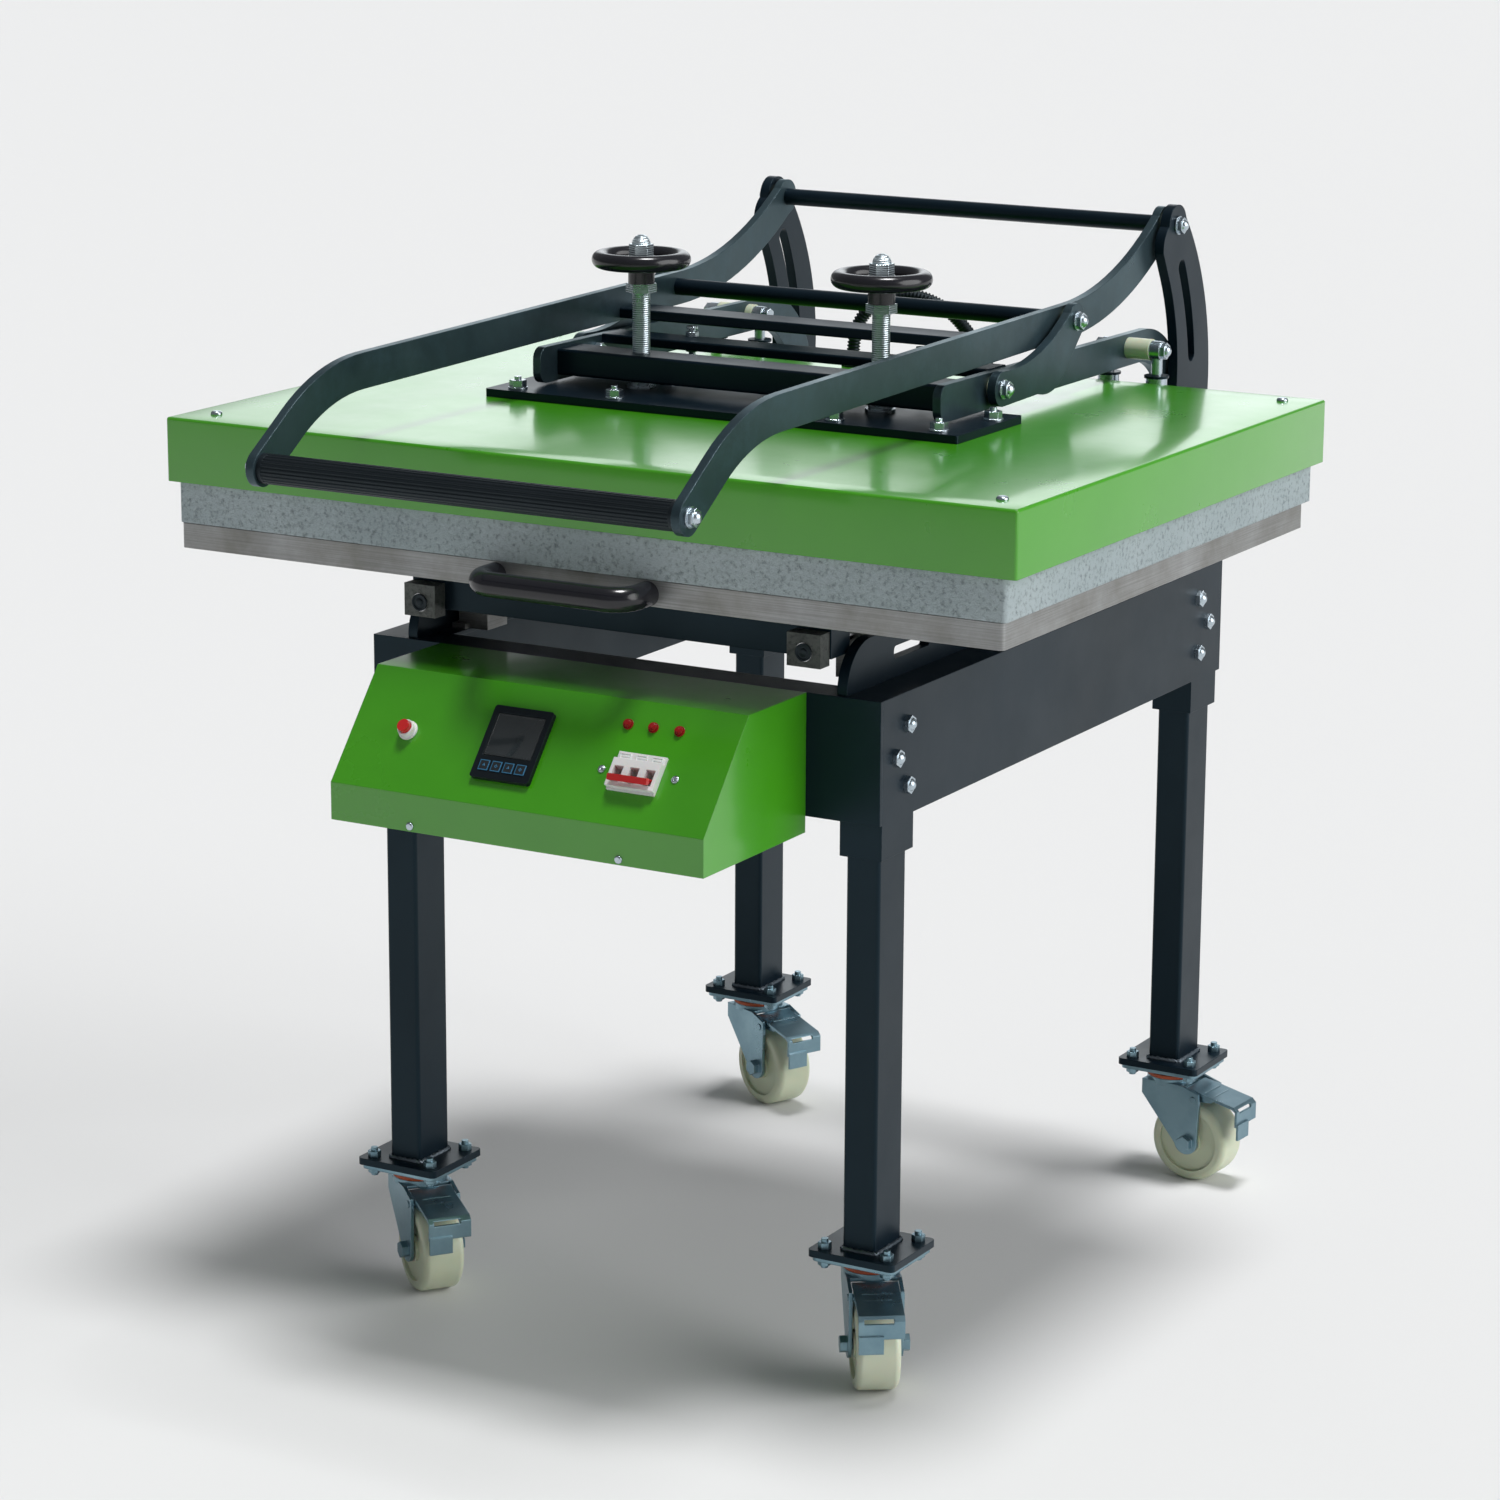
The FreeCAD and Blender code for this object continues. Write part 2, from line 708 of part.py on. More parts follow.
# ================================================================ levers and links
def lever_path():
    """Points and centres of the lever's centre line, and the place of the grip."""
    fall = math.radians(lever_slope)
    run = (math.cos(fall), math.sin(fall))
    bend = (lever_bend_y, lever_bend_z)
    length = (lever_bend_y - lever_knee_y) / run[0]
    knee = (lever_knee_y, lever_bend_z - length * run[1])
    normal = (-run[1], run[0])
    dy = lever_pivot[0] - bend[0]
    dz = lever_pivot[1] - bend[1]
    rise = dy * normal[0] + dz * normal[1]
    rear_radius = (dy * dy + dz * dz) / (2 * rise)
    rear_centre = (bend[0] + normal[0] * rear_radius, bend[1] + normal[1] * rear_radius)
    knee_centre = (knee[0] - normal[0] * knee_radius, knee[1] - normal[1] * knee_radius)
    end_angle = 90 + lever_slope + knee_turn
    tail_start = (knee_centre[0] + knee_radius * math.cos(math.radians(end_angle)),
                  knee_centre[1] + knee_radius * math.sin(math.radians(end_angle)))
    way = math.radians(180 + lever_slope + knee_turn)
    grip = (tail_start[0] + lever_tail * math.cos(way), tail_start[1] + lever_tail * math.sin(way))
    return bend, knee, rear_centre, rear_radius, knee_centre, end_angle, tail_start, grip


def make_lever():
    """Right operating lever, bent up at the back to its pivot and down at the front to the grip."""
    x0 = lever_outer - steel_plate
    x1 = lever_outer
    bend, knee, rear_centre, rear_radius, knee_centre, end_angle, tail_start, grip = lever_path()
    first = 270 + lever_slope
    last = math.degrees(math.atan2(lever_pivot[1] - rear_centre[1], lever_pivot[0] - rear_centre[0])) % 360
    pieces = [
        cross_pin(lever_half + 1.5, x0, x1, *lever_pivot),
        bend_run(rear_centre, rear_radius, first, last, lever_half, x0, x1),
        bar_run(knee, bend, lever_half, x0, x1),
        bend_run(knee_centre, knee_radius, 90 + lever_slope, end_angle, lever_half, x0, x1),
        bar_run(tail_start, grip, lever_half, x0, x1),
        cross_pin(lever_half, x0, x1, *grip),
    ]
    holes = []
    for place in (lever_pivot, link_pivot, grip):
        holes.append(cross_pin(pivot_bolt + fit, x0 - 5, x1 + 5, *place))
    return cut(fuse(pieces), holes)


def make_tie_rods():
    """Two round tie rods between the levers, tapped at both ends."""
    inner = lever_outer - steel_plate
    rods = []
    for place in (lever_pivot, link_pivot):
        bar = cross_pin(rod_radius, -inner, inner, *place)
        ends = [cross_pin(pivot_bolt + fit, side * (inner - 26), side * (inner + overlap), *place)
                for side in (-1, 1)]
        rods.append(cut(bar, ends))
    return rods


def make_grip():
    """Fluted grip bar between the front ends of the levers."""
    inner = lever_outer - steel_plate
    grip = lever_path()[-1]
    bar = cross_pin(grip_radius, -inner, inner, *grip)
    tools = []
    for number in range(grip_flutes):
        y, z = turned(grip_radius + 0.8, 0, 360.0 / grip_flutes * number)
        tools.append(cross_pin(1.6, -inner + 6, inner - 6, grip[0] + y, grip[1] + z))
    for side in (-1, 1):
        tools.append(cross_pin(pivot_bolt + fit, side * (inner - 26), side * (inner + overlap), *grip))
    return cut(bar, tools)


def make_lever_bolts():
    """Domed bolts at the lever pivots, the link pivots and the grip."""
    inner = lever_outer - steel_plate - 24
    grip = lever_path()[-1]
    plate_out = plate_inner + plate_thick + air
    link_out = plate_inner + steel_plate + air
    bolts = []
    for place, seat in ((lever_pivot, plate_out), (link_pivot, link_out), (grip, lever_outer)):
        shank = cross_pin(pivot_bolt, inner, seat + 1, *place)
        washer = cross_pin(11.0, seat, seat + 2, *place)
        head = domed_nut(17.0, (seat + 2, place[0], place[1]), X_AXIS, 11.0)
        bolts.extend(both_sides(fuse([shank, washer, head])))
    return group(bolts)


def washer(radius, bore, x0, x1, place):
    """A thin ring about a pivot."""
    ring = cross_pin(radius, x0, x1, *place)
    return ring.cut(cross_pin(bore, x0 - 1, x1 + 1, *place))


def make_lever_washers():
    """Nylon washers that keep the levers off the side plates and the links."""
    rings = []
    for place in (lever_pivot, link_pivot):
        rings.extend(both_sides(washer(13.0, pivot_bolt + fit, lever_outer, plate_inner - air, place)))
    return group(rings)


def make_brace():
    """Flat brace welded between the levers."""
    inner = lever_outer - steel_plate
    return rounded_box(-inner, inner, brace_y[0], brace_y[1], brace_z[0], brace_z[1], 2.0, X_AXIS)


def make_link():
    """Right toggle link, a curved plate from the lever to the swing arm."""
    x0 = plate_inner
    x1 = plate_inner + steel_plate
    by, bz = link_pivot
    cy, cz = arm_pivot
    r = link_boss
    c = r * math.sqrt(0.5)
    plate = side_outline([
        (cy, cz - r),
        ((cy - c, cz - c), (cy - r, cz)),
        ((cy - c, cz + c), (cy, cz + r)),
        ((cy + 96, cz + 30), (by - 17, bz + 11)),
        ((by - 4, bz + r), (by + 12, bz + 16)),
        ((by + r, bz + 1), (by + 16, bz - 12)),
        (by - 12, bz - 38),
        ((by - 44, bz - 66), (by - 96, bz - 70)),
    ], x0, x1)
    holes = [cross_pin(pivot_bolt + fit, x0 - 5, x1 + 5, *place) for place in (link_pivot, arm_pivot)]
    return cut(plate, holes)


def make_link_bolts():
    """Domed bolts at the lower ends of the links."""
    seat = plate_inner + steel_plate
    shank = cross_pin(pivot_bolt, plate_inner, seat + 1, *arm_pivot)
    ring = cross_pin(seat_radius, seat, seat + seat_thick, *arm_pivot)
    head = domed_nut(bolt_flats, (seat + seat_thick, *arm_pivot), X_AXIS, cap_height)
    return group(both_sides(fuse([shank, ring, head])))


# ================================================================ head
def make_swing_arm():
    """Right swing arm, level over the head and turned down at the back to its low pivot."""
    x0 = lever_outer - steel_plate
    x1 = lever_outer
    py, pz = head_pivot
    half = arm_back - py
    arm = side_outline([
        (arm_front, arm_bottom + 12),
        (arm_front, arm_top - 14),
        ((arm_front + 4, arm_top - 4), (arm_front + 14, arm_top)),
        (330.0, arm_top - 4),
        ((392.0, arm_top - 27), (arm_back, arm_top - 76)),
        (arm_back, pz),
        ((py, pz - half), (py - half, pz)),
        (py - half, 960.0),
        ((362.0, 994.0), (316.0, arm_bottom)),
        (arm_front + 12, arm_bottom),
        ((arm_front + 4, arm_bottom + 4), (arm_front, arm_bottom + 12)),
    ], x0, x1)
    holes = [
        cross_pin(pivot_bolt + fit, x0 - 5, x1 + 5, *arm_pivot),
        cross_pin(head_pin + fit, x0 - 5, x1 + 5, *head_pivot),
        cross_pin(pivot_bolt + fit, x0 - 5, x1 + 5, hanger_y, hanger_z),
    ]
    return cut(arm, holes)


def make_front_tube():
    """Square tube across the arms that carries the two screw spindles."""
    inner = lever_outer - steel_plate
    outside = rounded_box(-inner, inner, tube_y[0], tube_y[1], tube_z[0], tube_z[1], 3.0, X_AXIS)
    hollow = box(-inner - 1, inner + 1, tube_y[0] + tube_wall, tube_y[1] - tube_wall,
                 tube_z[0] + tube_wall, tube_z[1] - tube_wall)
    tube = outside.cut(hollow)
    sleeves = []
    tools = []
    for side in (-1, 1):
        sleeves.append(post(spindle_radius + 5, side * spindle_x, spindle_y, tube_z[0] + 1, tube_z[1] - 1))
        tools.append(post(spindle_radius + fit, side * spindle_x, spindle_y, tube_z[0] - 5, tube_z[1] + 5))
    return cut(fuse([tube] + sleeves), tools)


def make_middle_bar():
    """Flat bar across the arms behind the square tube."""
    inner = lever_outer - steel_plate
    bar = rounded_box(-inner, inner, middle_bar_y[0], middle_bar_y[1],
                      arm_top - middle_bar_thick, arm_top, 2.0, X_AXIS)
    holes = [post(stop_screw_radius + fit, side * stop_screw_x, stop_screw_y, arm_top - 30, arm_top + 5)
             for side in (-1, 1)]
    return cut(bar, holes)


def make_pressure_plate():
    """Flat plate on the cover that spreads the screws' force."""
    z0 = cover_z[1]
    z1 = z0 + pressure_thick
    plate = rounded_box(-pressure_half_width, pressure_half_width, pressure_y[0], pressure_y[1],
                        z0, z1, 3.0, Z_AXIS)
    tools = []
    for x, y in plate_bolt_spots:
        for side in (-1, 1):
            tools.append(post(plate_bolt_radius + fit, side * x, y, z0 - 5, z1 + 5))
    return cut(plate, tools)


def make_head_fasteners():
    """Bolts, collars and screws that ride with the head."""
    pieces = []
    z0 = cover_z[1]
    z1 = z0 + pressure_thick
    for x, y in plate_bolt_spots:
        bolt = fuse([
            post(plate_bolt_radius, x, y, z0 - 12, z1 + 1),
            post(seat_radius, x, y, z1, z1 + seat_thick),
            hex_prism(bolt_flats, (x, y, z1 + seat_thick), Z_AXIS, nut_height),
            post(plate_bolt_radius - 1, x, y, z1 + nut_height + 1, z1 + nut_height + 6),
        ])
        pieces.extend(both_sides(bolt))
    collar = fuse([
        post(collar_radius, spindle_x, spindle_y, z1, z1 + 3),
        post(13.5, spindle_x, spindle_y, z1 + 3, tube_z[0] - 2.5),
    ])
    collar = collar.cut(post(spindle_radius + fit, spindle_x, spindle_y, z1 - 1, tube_z[0] + 1))
    pieces.extend(both_sides(collar))
    for y in cover_screw_y:
        screw = fuse([
            post(cover_screw_radius, cover_screw_x, y, z0 - 8, z0 + 1),
            pan_head(6.5, (cover_screw_x, y, z0), Z_AXIS, 4.0),
        ])
        pieces.extend(both_sides(screw))
    y = stop_screw_y
    stop_top = brace_z[0] - air * 2
    stop = fuse([
        post(stop_screw_radius, stop_screw_x, y, arm_top - 24, stop_top),
        hex_prism(small_flats, (stop_screw_x, y, arm_top), Z_AXIS, 6.0),
        hex_prism(small_flats, (stop_screw_x, y, arm_top - middle_bar_thick - 6), Z_AXIS, 6.0),
        post(small_flats / 2, stop_screw_x, y, stop_top - 3.4, stop_top),
    ])
    pieces.extend(both_sides(stop))
    inner = lever_outer - steel_plate
    link_stub = fuse([
        cross_pin(pivot_bolt, inner - 12, lever_outer, *arm_pivot),
        hex_prism(bolt_flats, (inner - nut_height, *arm_pivot), X_AXIS, nut_height),
    ])
    pieces.extend(both_sides(link_stub))
    pin_out = plate_inner + plate_thick + air
    pivot = fuse([
        cross_pin(head_pin, inner - 12, pin_out + 1, *head_pivot),
        cross_pin(13.0, pin_out, pin_out + seat_thick, *head_pivot),
        domed_nut(pin_flats, (pin_out + seat_thick, *head_pivot), X_AXIS, 13.0),
        hex_prism(pin_flats, (inner - 9, *head_pivot), X_AXIS, 9.0),
    ])
    pieces.extend(both_sides(pivot))
    return group(pieces)


def make_cover():
    """Folded sheet cover over the heater, open below, with a lip turned in along its lower edge."""
    w = cover_half_width
    t = cover_sheet
    y0, y1 = cover_y
    z0, z1 = cover_z
    outside = rounded_box(-w, w, y0, y1, z0, z1, 4.0, Z_AXIS)
    hollow = box(-w + t, w - t, y0 + t, y1 - t, z0 + t, z1 - t)
    mouth = box(-w + cover_lip, w - cover_lip, y0 + cover_lip, y1 - cover_lip, z0 - 1, z0 + t + 1)
    tools = [hollow, mouth]
    for x, y in plate_bolt_spots:
        for side in (-1, 1):
            tools.append(post(plate_bolt_radius + fit, side * x, y, z1 - 5, z1 + 5))
    for y in cover_screw_y:
        for side in (-1, 1):
            tools.append(post(cover_screw_radius + fit, side * cover_screw_x, y, z1 - 5, z1 + 5))
    start = conduit_route[0]
    tools.append(post(gland_thread + fit, start[0], start[1], z1 - 5, z1 + 5))
    return cut(outside, tools)


def make_insulation():
    """Insulating board over the heated plate."""
    margin = cover_lip + 3
    return box(-cover_half_width + margin, cover_half_width - margin,
               cover_y[0] + margin, cover_y[1] - margin, insulation_z[0] + 0.2, insulation_z[1])


def make_platen():
    """Cast heated plate."""
    return rounded_box(-platen_half_width, platen_half_width, platen_y[0], platen_y[1],
                       platen_z[0], platen_z[1], 5.0, Z_AXIS)


def make_nylon_spacers():
    """Nylon washers and spacers that ride with the swing arms."""
    inner = lever_outer - steel_plate
    place = (hanger_y, hanger_z)
    rings = []
    rings.extend(both_sides(washer(nylon_radius, pivot_bolt + fit, lever_outer, plate_inner - air, arm_pivot)))
    rings.extend(both_sides(washer(nylon_radius + 2, head_pin + fit, lever_outer, plate_inner - air,
                                   head_pivot)))
    outer_end = hanger_outer_x - hanger_eye / 2
    rings.extend(both_sides(washer(spacer_radius, pivot_bolt + fit, lever_outer, outer_end, place)))
    inner_end = hanger_inner_x + hanger_eye / 2
    rings.extend(both_sides(washer(spacer_radius, pivot_bolt + fit, inner_end, inner, place)))
    return group(rings)


def make_hangers():
    """Eye studs that tie the back of the head to the arms, with their cross bolts and bushes."""
    place = (hanger_y, hanger_z)
    far = hanger_outer_x + hanger_eye / 2
    near = hanger_inner_x - hanger_eye / 2
    bolt = fuse([
        cross_pin(pivot_bolt, near - 1, far + 1, *place),
        hex_prism(bolt_flats, (near - nut_height, hanger_y, hanger_z), X_AXIS, nut_height),
        domed_nut(bolt_flats, (far, hanger_y, hanger_z), X_AXIS, cap_height),
    ])
    pieces = both_sides(bolt)
    for x in (hanger_inner_x, hanger_outer_x):
        eye = fuse([
            cross_pin(seat_radius, x - hanger_eye / 2, x + hanger_eye / 2, *place),
            post(hanger_stud, x, hanger_y, bracket_top - bracket_thick - 12, hanger_z - 8),
            post(hanger_bush, x, hanger_y, bracket_top, bracket_top + 14),
            hex_prism(bolt_flats, (x, hanger_y, bracket_top - bracket_thick - nut_height), Z_AXIS,
                      nut_height),
        ])
        pieces.extend(both_sides(eye.cut(cross_pin(pivot_bolt + fit, x - 20, x + 20, *place))))
    return group(pieces)


def make_hanger_brackets():
    """Brackets on the back of the cover that take the eye studs, with a washer on each bush."""
    x0 = hanger_inner_x - 20
    x1 = hanger_outer_x + 20
    y0 = cover_y[1]
    tab = box(x0, x1, y0, bracket_back, bracket_top - bracket_thick, bracket_top)
    back = box(x0, x1, y0, y0 + bracket_thick, cover_z[0] + 8, bracket_top)
    bracket = fuse([tab, back])
    pieces = []
    for x in (hanger_inner_x, hanger_outer_x):
        hole = post(hanger_stud + fit, x, hanger_y, bracket_top - 20, bracket_top + 40)
        bracket = bracket.cut(hole)
        ring = post(hanger_bush + 2, x, hanger_y, bracket_top + 14, bracket_top + 17).cut(hole)
        pieces.extend(both_sides(ring))
    return group(both_sides(bracket) + pieces)


def conduit_path(route):
    """Straight runs joined by tangent arcs, the arcs as large as their runs allow."""
    points = [V(*point) for point in route]
    edges = []
    here = points[0]
    for number in range(1, len(points) - 1):
        before = points[number - 1]
        corner = points[number]
        after = points[number + 1]
        shorter = min((corner - before).Length, (after - corner).Length)
        into = (corner - before).normalize()
        away = (after - corner).normalize()
        turn = math.acos(max(-1.0, min(1.0, into.dot(away))))
        if turn < 1e-3:
            continue
        back = 0.45 * shorter
        radius = back / math.tan(turn / 2)
        start = corner - into * back
        end = corner + away * back
        side = (away - into).normalize()
        middle = corner + side * (radius / math.cos(turn / 2) - radius)
        edges.append(Part.LineSegment(here, start).toShape())
        edges.append(Part.Arc(start, middle, end).toShape())
        print("conduit arc radius %.0f turn %.0f" % (radius, math.degrees(turn)))
        here = end
    edges.append(Part.LineSegment(here, points[-1]).toShape())
    return Part.Wire(edges)


def make_conduit():
    """Flexible conduit from the head's gland to the frame's gland."""
    path = conduit_path(conduit_route)
    start = conduit_route[0]
    profile = Part.Wire([Part.makeCircle(conduit_radius, V(*start), Z_AXIS)])
    tube = path.makePipeShell([profile], True, False)
    expected = math.pi * conduit_radius ** 2 * path.Length
    print("conduit length %.1f, volume ratio %.4f" % (path.Length, tube.Volume / expected))
    return tube


def make_head_gland():
    """Gland on the cover where the conduit enters the head."""
    x, y, z = conduit_route[0]
    z0 = cover_z[1]
    body = fuse([
        post(gland_thread, x, y, z0 - 14, z0 + 1),
        hex_prism(gland_flats, (x, y, z0), Z_AXIS, 6.0),
        post(11.0, x, y, z0 + 5, z),
    ])
    return body.cut(post(conduit_bore, x, y, z0 - 20, z + 1))


# ================================================================ screw spindles
def make_handwheel(side):
    """Dished handwheel with a round rim."""
    x = side * spindle_x
    rim = Part.makeTorus(wheel_radius, rim_radius, V(x, spindle_y, wheel_z))
    web = Part.makeCone(14.0, wheel_radius - 2, 10.0, V(x, spindle_y, wheel_z - 10))
    web = web.cut(Part.makeCone(12.0, wheel_radius - 3, 10.0, V(x, spindle_y, wheel_z - 6)))
    hub = post(15.0, x, spindle_y, wheel_z - 27, wheel_z + 4)
    wheel = fuse([rim, web, hub])
    return wheel.cut(post(spindle_radius + fit, x, spindle_y, wheel_z - 60, wheel_z + 60))


def make_spindle(side):
    """Screw spindle with a lock nut under the handwheel and an acorn nut on top."""
    x = side * spindle_x
    z0 = cover_z[1] + pressure_thick + air * 2
    return fuse([
        post(spindle_radius, x, spindle_y, z0, spindle_top),
        hex_prism(30.0, (x, spindle_y, wheel_z - 37), Z_AXIS, 10.0),
        domed_nut(24.0, (x, spindle_y, wheel_z + 4), Z_AXIS, 24.0),
    ])


# ================================================================ table
def make_table():
    """Sliding lower table with a shallow recess for the pad."""
    w = table_half_width
    y0, y1 = table_y
    z0, z1 = table_z
    plate = rounded_box(-w, w, y0, y1, z0, z1, 5.0, Z_AXIS)
    recess = box(-w + pad_margin - fit, w - pad_margin + fit, y0 + pad_margin - fit, y1 - pad_margin + fit,
                 z1 - pad_thick, z1 + 1)
    return plate.cut(recess)


def make_pad():
    """Silicone sponge pad in the table's recess."""
    w = table_half_width - pad_margin
    y0 = table_y[0] + pad_margin
    y1 = table_y[1] - pad_margin
    return box(-w, w, y0, y1, table_z[1] - pad_thick, table_z[1])


def make_carriage():
    """Front and rear cross beams and two side bars under the table."""
    w = carriage_half_width
    top = table_z[0]
    f = carriage_front
    side_in = slide_rod_x - 20
    low = slide_rod_z + 19
    front = box(-w, w, f, f + carriage_depth, carriage_bottom, top)
    rear = box(-side_in - 40, side_in + 40, slide_rod_y[1] - 180, slide_rod_y[1] - 144, low, top)
    pieces = [front, rear]
    for side in (-1, 1):
        pieces.append(box(side * side_in, side * (side_in + 40), f, slide_rod_y[1] - 2, low, top))
    carriage = fuse(pieces)
    holes = []
    for side in (-1, 1):
        holes.append(pin(slide_rod_radius + fit, (side * slide_rod_x, slide_rod_y[0] - 5, slide_rod_z),
                         Y_AXIS, 100))
    return cut(carriage, holes)


def make_slide_rods():
    """Two ground rods that travel with the table, held by a block at each end."""
    rods = []
    y0, y1 = slide_rod_y
    for side in (-1, 1):
        x = side * slide_rod_x
        rods.append(pin(slide_rod_radius, (x, y0, slide_rod_z), Y_AXIS, y1 - y0))
    return group(rods)


def make_rod_ends():
    """Clamp blocks that hold the ends of the slide rods under the table."""
    y0, y1 = slide_rod_y
    blocks = []
    for side in (-1, 1):
        x = side * slide_rod_x
        for ya, yb, z_top in ((y0, carriage_front, slide_rod_z + 20), (y1 - 20, y1, slide_rod_z + 19)):
            block = box(x - 20, x + 20, ya, yb, slide_rod_z - 16, z_top)
            hole = pin(slide_rod_radius + fit, (x, ya - 5, slide_rod_z), Y_AXIS, 60)
            blocks.append(block.cut(hole))
    return group(blocks)


def make_bearings():
    """Closed linear bearings on feet, fixed to the side rails' top flanges."""
    blocks = []
    for side in (-1, 1):
        x = side * slide_rod_x
        for y in bearing_spots:
            y0 = y - bearing_length / 2
            y1 = y + bearing_length / 2
            body = box(x - 19, x + 19, y0, y1, frame_top, slide_rod_z + 17)
            foot = box(x + side * 5, x + side * 22.5, y0 - 8, y1 + 8, frame_top, frame_top + 6)
            hole = pin(slide_rod_radius + fit, (x, y0 - 20, slide_rod_z), Y_AXIS, bearing_length + 60)
            blocks.append(fuse([body, foot]).cut(hole))
    return group(blocks)


def make_pull_handle():
    """Round bar handle with curved ends on the front of the table."""
    w = handle_half_width
    bend = 26.0
    y0 = table_y[0]
    y1 = y0 - handle_reach
    z = handle_z
    start = V(-w, y0, z)
    edges = [
        Part.makeLine(start, V(-w, y1 + bend, z)),
        Part.Arc(V(-w, y1 + bend, z), V(-w + bend * 0.2929, y1 + bend * 0.2929, z),
                 V(-w + bend, y1, z)).toShape(),
        Part.makeLine(V(-w + bend, y1, z), V(w - bend, y1, z)),
        Part.Arc(V(w - bend, y1, z), V(w - bend * 0.2929, y1 + bend * 0.2929, z),
                 V(w, y1 + bend, z)).toShape(),
        Part.makeLine(V(w, y1 + bend, z), V(w, y0, z)),
    ]
    profile = Part.Wire([Part.makeCircle(handle_radius, start, Y_AXIS)])
    return Part.Wire(edges).makePipeShell([profile], True, False)


# ================================================================ castors
def castor_bolt_spots():
    """Places of the four plate bolts from a leg's centre."""
    return [(sx * castor_bolt_x, sy * castor_bolt_y) for sx in (-1, 1) for sy in (-1, 1)]


def castor_frame_centre(name):
    """X and Y of a castor's swivel axis."""
    x = leg_x if name.endswith("right") else -leg_x
    y = leg_y if name.startswith("rear") else -leg_y
    return x, y


def make_castor_plates():
    """Castor top plates with the fixed ring and stem of each swivel, and the plate bolts."""
    pieces = []
    top = foot_top - foot_thick
    low = top - castor_plate_thick
    for name in castor_yaw:
        x, y = castor_frame_centre(name)
        plate = rounded_box(x - 50, x + 50, y - 47, y + 47, low, top, 8.0, Z_AXIS)
        ring = post(castor_ring_radius, x, y, low - castor_ring, low)
        stem = post(castor_stem, x, y, fork_top - fork_crown - 1, low)
        foot = post(castor_stem + 4, x, y, fork_top - fork_crown - 5, fork_top - fork_crown - air)
        tools = [post(castor_bolt_radius + fit, x + dx, y + dy, low - 5, top + 1)
                 for dx, dy in castor_bolt_spots()]
        pieces.append(cut(fuse([plate, ring, stem, foot]), tools))
        for dx, dy in castor_bolt_spots():
            bolt = fuse([
                post(castor_bolt_radius, x + dx, y + dy, low - 9, foot_top + 1),
                hex_prism(small_flats, (x + dx, y + dy, foot_top), Z_AXIS, 7.0),
                post(castor_bolt_radius, x + dx, y + dy, foot_top + 6, foot_top + 11),
                hex_prism(small_flats, (x + dx, y + dy, low - 6), Z_AXIS, 6.0),
            ])
            pieces.append(bolt)
    return group(pieces)


def make_fork(name):
    """Swivel fork with its race, two cheeks and the axle bolt, pointing along the castor's yaw."""
    half_in = castor_wheel_width / 2 + fork_gap
    half_out = half_in + fork_sheet
    axle_z = castor_wheel_radius
    low = fork_top - fork_crown
    py, pz = pedal_axle
    pieces = [
        post(castor_race_radius, 0, 0, low, fork_top),
        box(-half_out, half_out, -26, 28, low, low + fork_sheet),
    ]
    for side in (-1, 1):
        pieces.append(side_outline([
            (-26, low + fork_sheet), (28, low + fork_sheet), (py + 8, pz + 8), (py + 9, pz - 4),
            (castor_trail + 15, axle_z + 4),
            ((castor_trail, axle_z - 15), (castor_trail - 15, axle_z - 3)),
            (-26, low - 14),
        ], side * half_in, side * half_out))
    tools = [
        cross_pin(axle_radius + fit, -half_out - 5, half_out + 5, castor_trail, axle_z),
        cross_pin(pedal_axle_radius + fit, -half_out - 5, half_out + 5, py, pz),
        post(castor_stem + fit, 0, 0, low - 5, fork_top + 5),
    ]
    fork = cut(fuse(pieces), tools)
    axle = fuse([
        cross_pin(axle_radius, -half_out - 1, half_out + 1, castor_trail, axle_z),
        hex_prism(bolt_flats, (half_out, castor_trail, axle_z), X_AXIS, nut_height),
        hex_prism(bolt_flats, (-half_out - nut_height, castor_trail, axle_z), X_AXIS, nut_height),
    ])
    return placed_castor(group([fork, axle]), name)


def make_wheel(name):
    """Nylon wheel with a bored hub, a dished side and rounded tread edges."""
    w = castor_wheel_width / 2
    r = castor_wheel_radius
    tread = cross_pin(r, -w, w, castor_trail, r)
    rims = [edge for edge in tread.Edges if isinstance(edge.Curve, Part.Circle)]
    tools = [cross_pin(axle_radius + fit, -60, 60, castor_trail, r)]
    for side in (-1, 1):
        dish = cross_pin(r - 12, side * (w - 4), side * (w + 5), castor_trail, r)
        tools.append(dish.cut(cross_pin(16.0, -60, 60, castor_trail, r)))
    return placed_castor(cut(tread.makeFillet(7.0, rims), tools), name)


def make_pedal(name):
    """Brake pedal: a sloping plate with a slotted drop, a toe tab and its cross pin."""
    w = pedal_half_width
    t = pedal_sheet
    y, z = pedal_axle
    end = pedal_reach
    plate = side_outline([
        (y - 11, z + 13), (end - 3, z - 1), (end + t - 1, z - 6), (end + t - 1, z - 26),
        (end - 1, z - 26), (end - 1, z - 7), (end - 6, z - 4), (y - 11, z + 10),
    ], -w, w)
    slot = box(-w + 12, w - 6, end - 8, end + 10, z - 9, z - 4)
    tab = box(-2, w, end + t - 1.5, end + t + 1.5, z - 42, z - 22)
    pieces = [plate.cut(slot), tab]
    pieces.append(cross_pin(pedal_axle_radius, -w - fork_gap - fork_sheet, w + fork_gap + fork_sheet, y, z))
    for side in (-1, 1):
        pieces.append(side_outline([
            (y - 5, z - 3), (y - 6, z + 11), (y + 30, z + 4), (y + 22, z - 2), (y + 5, z - 3),
        ], side * (w - 5), side * (w - 2)))
    for number in range(3):
        ry = y + 12 + number * 12
        rz = z + 12 - (ry - y) * 0.245 - 2
        pieces.append(cross_pin(1.6, -w + 8, w - 8, ry, rz))
    return placed_castor(fuse(pieces), name)


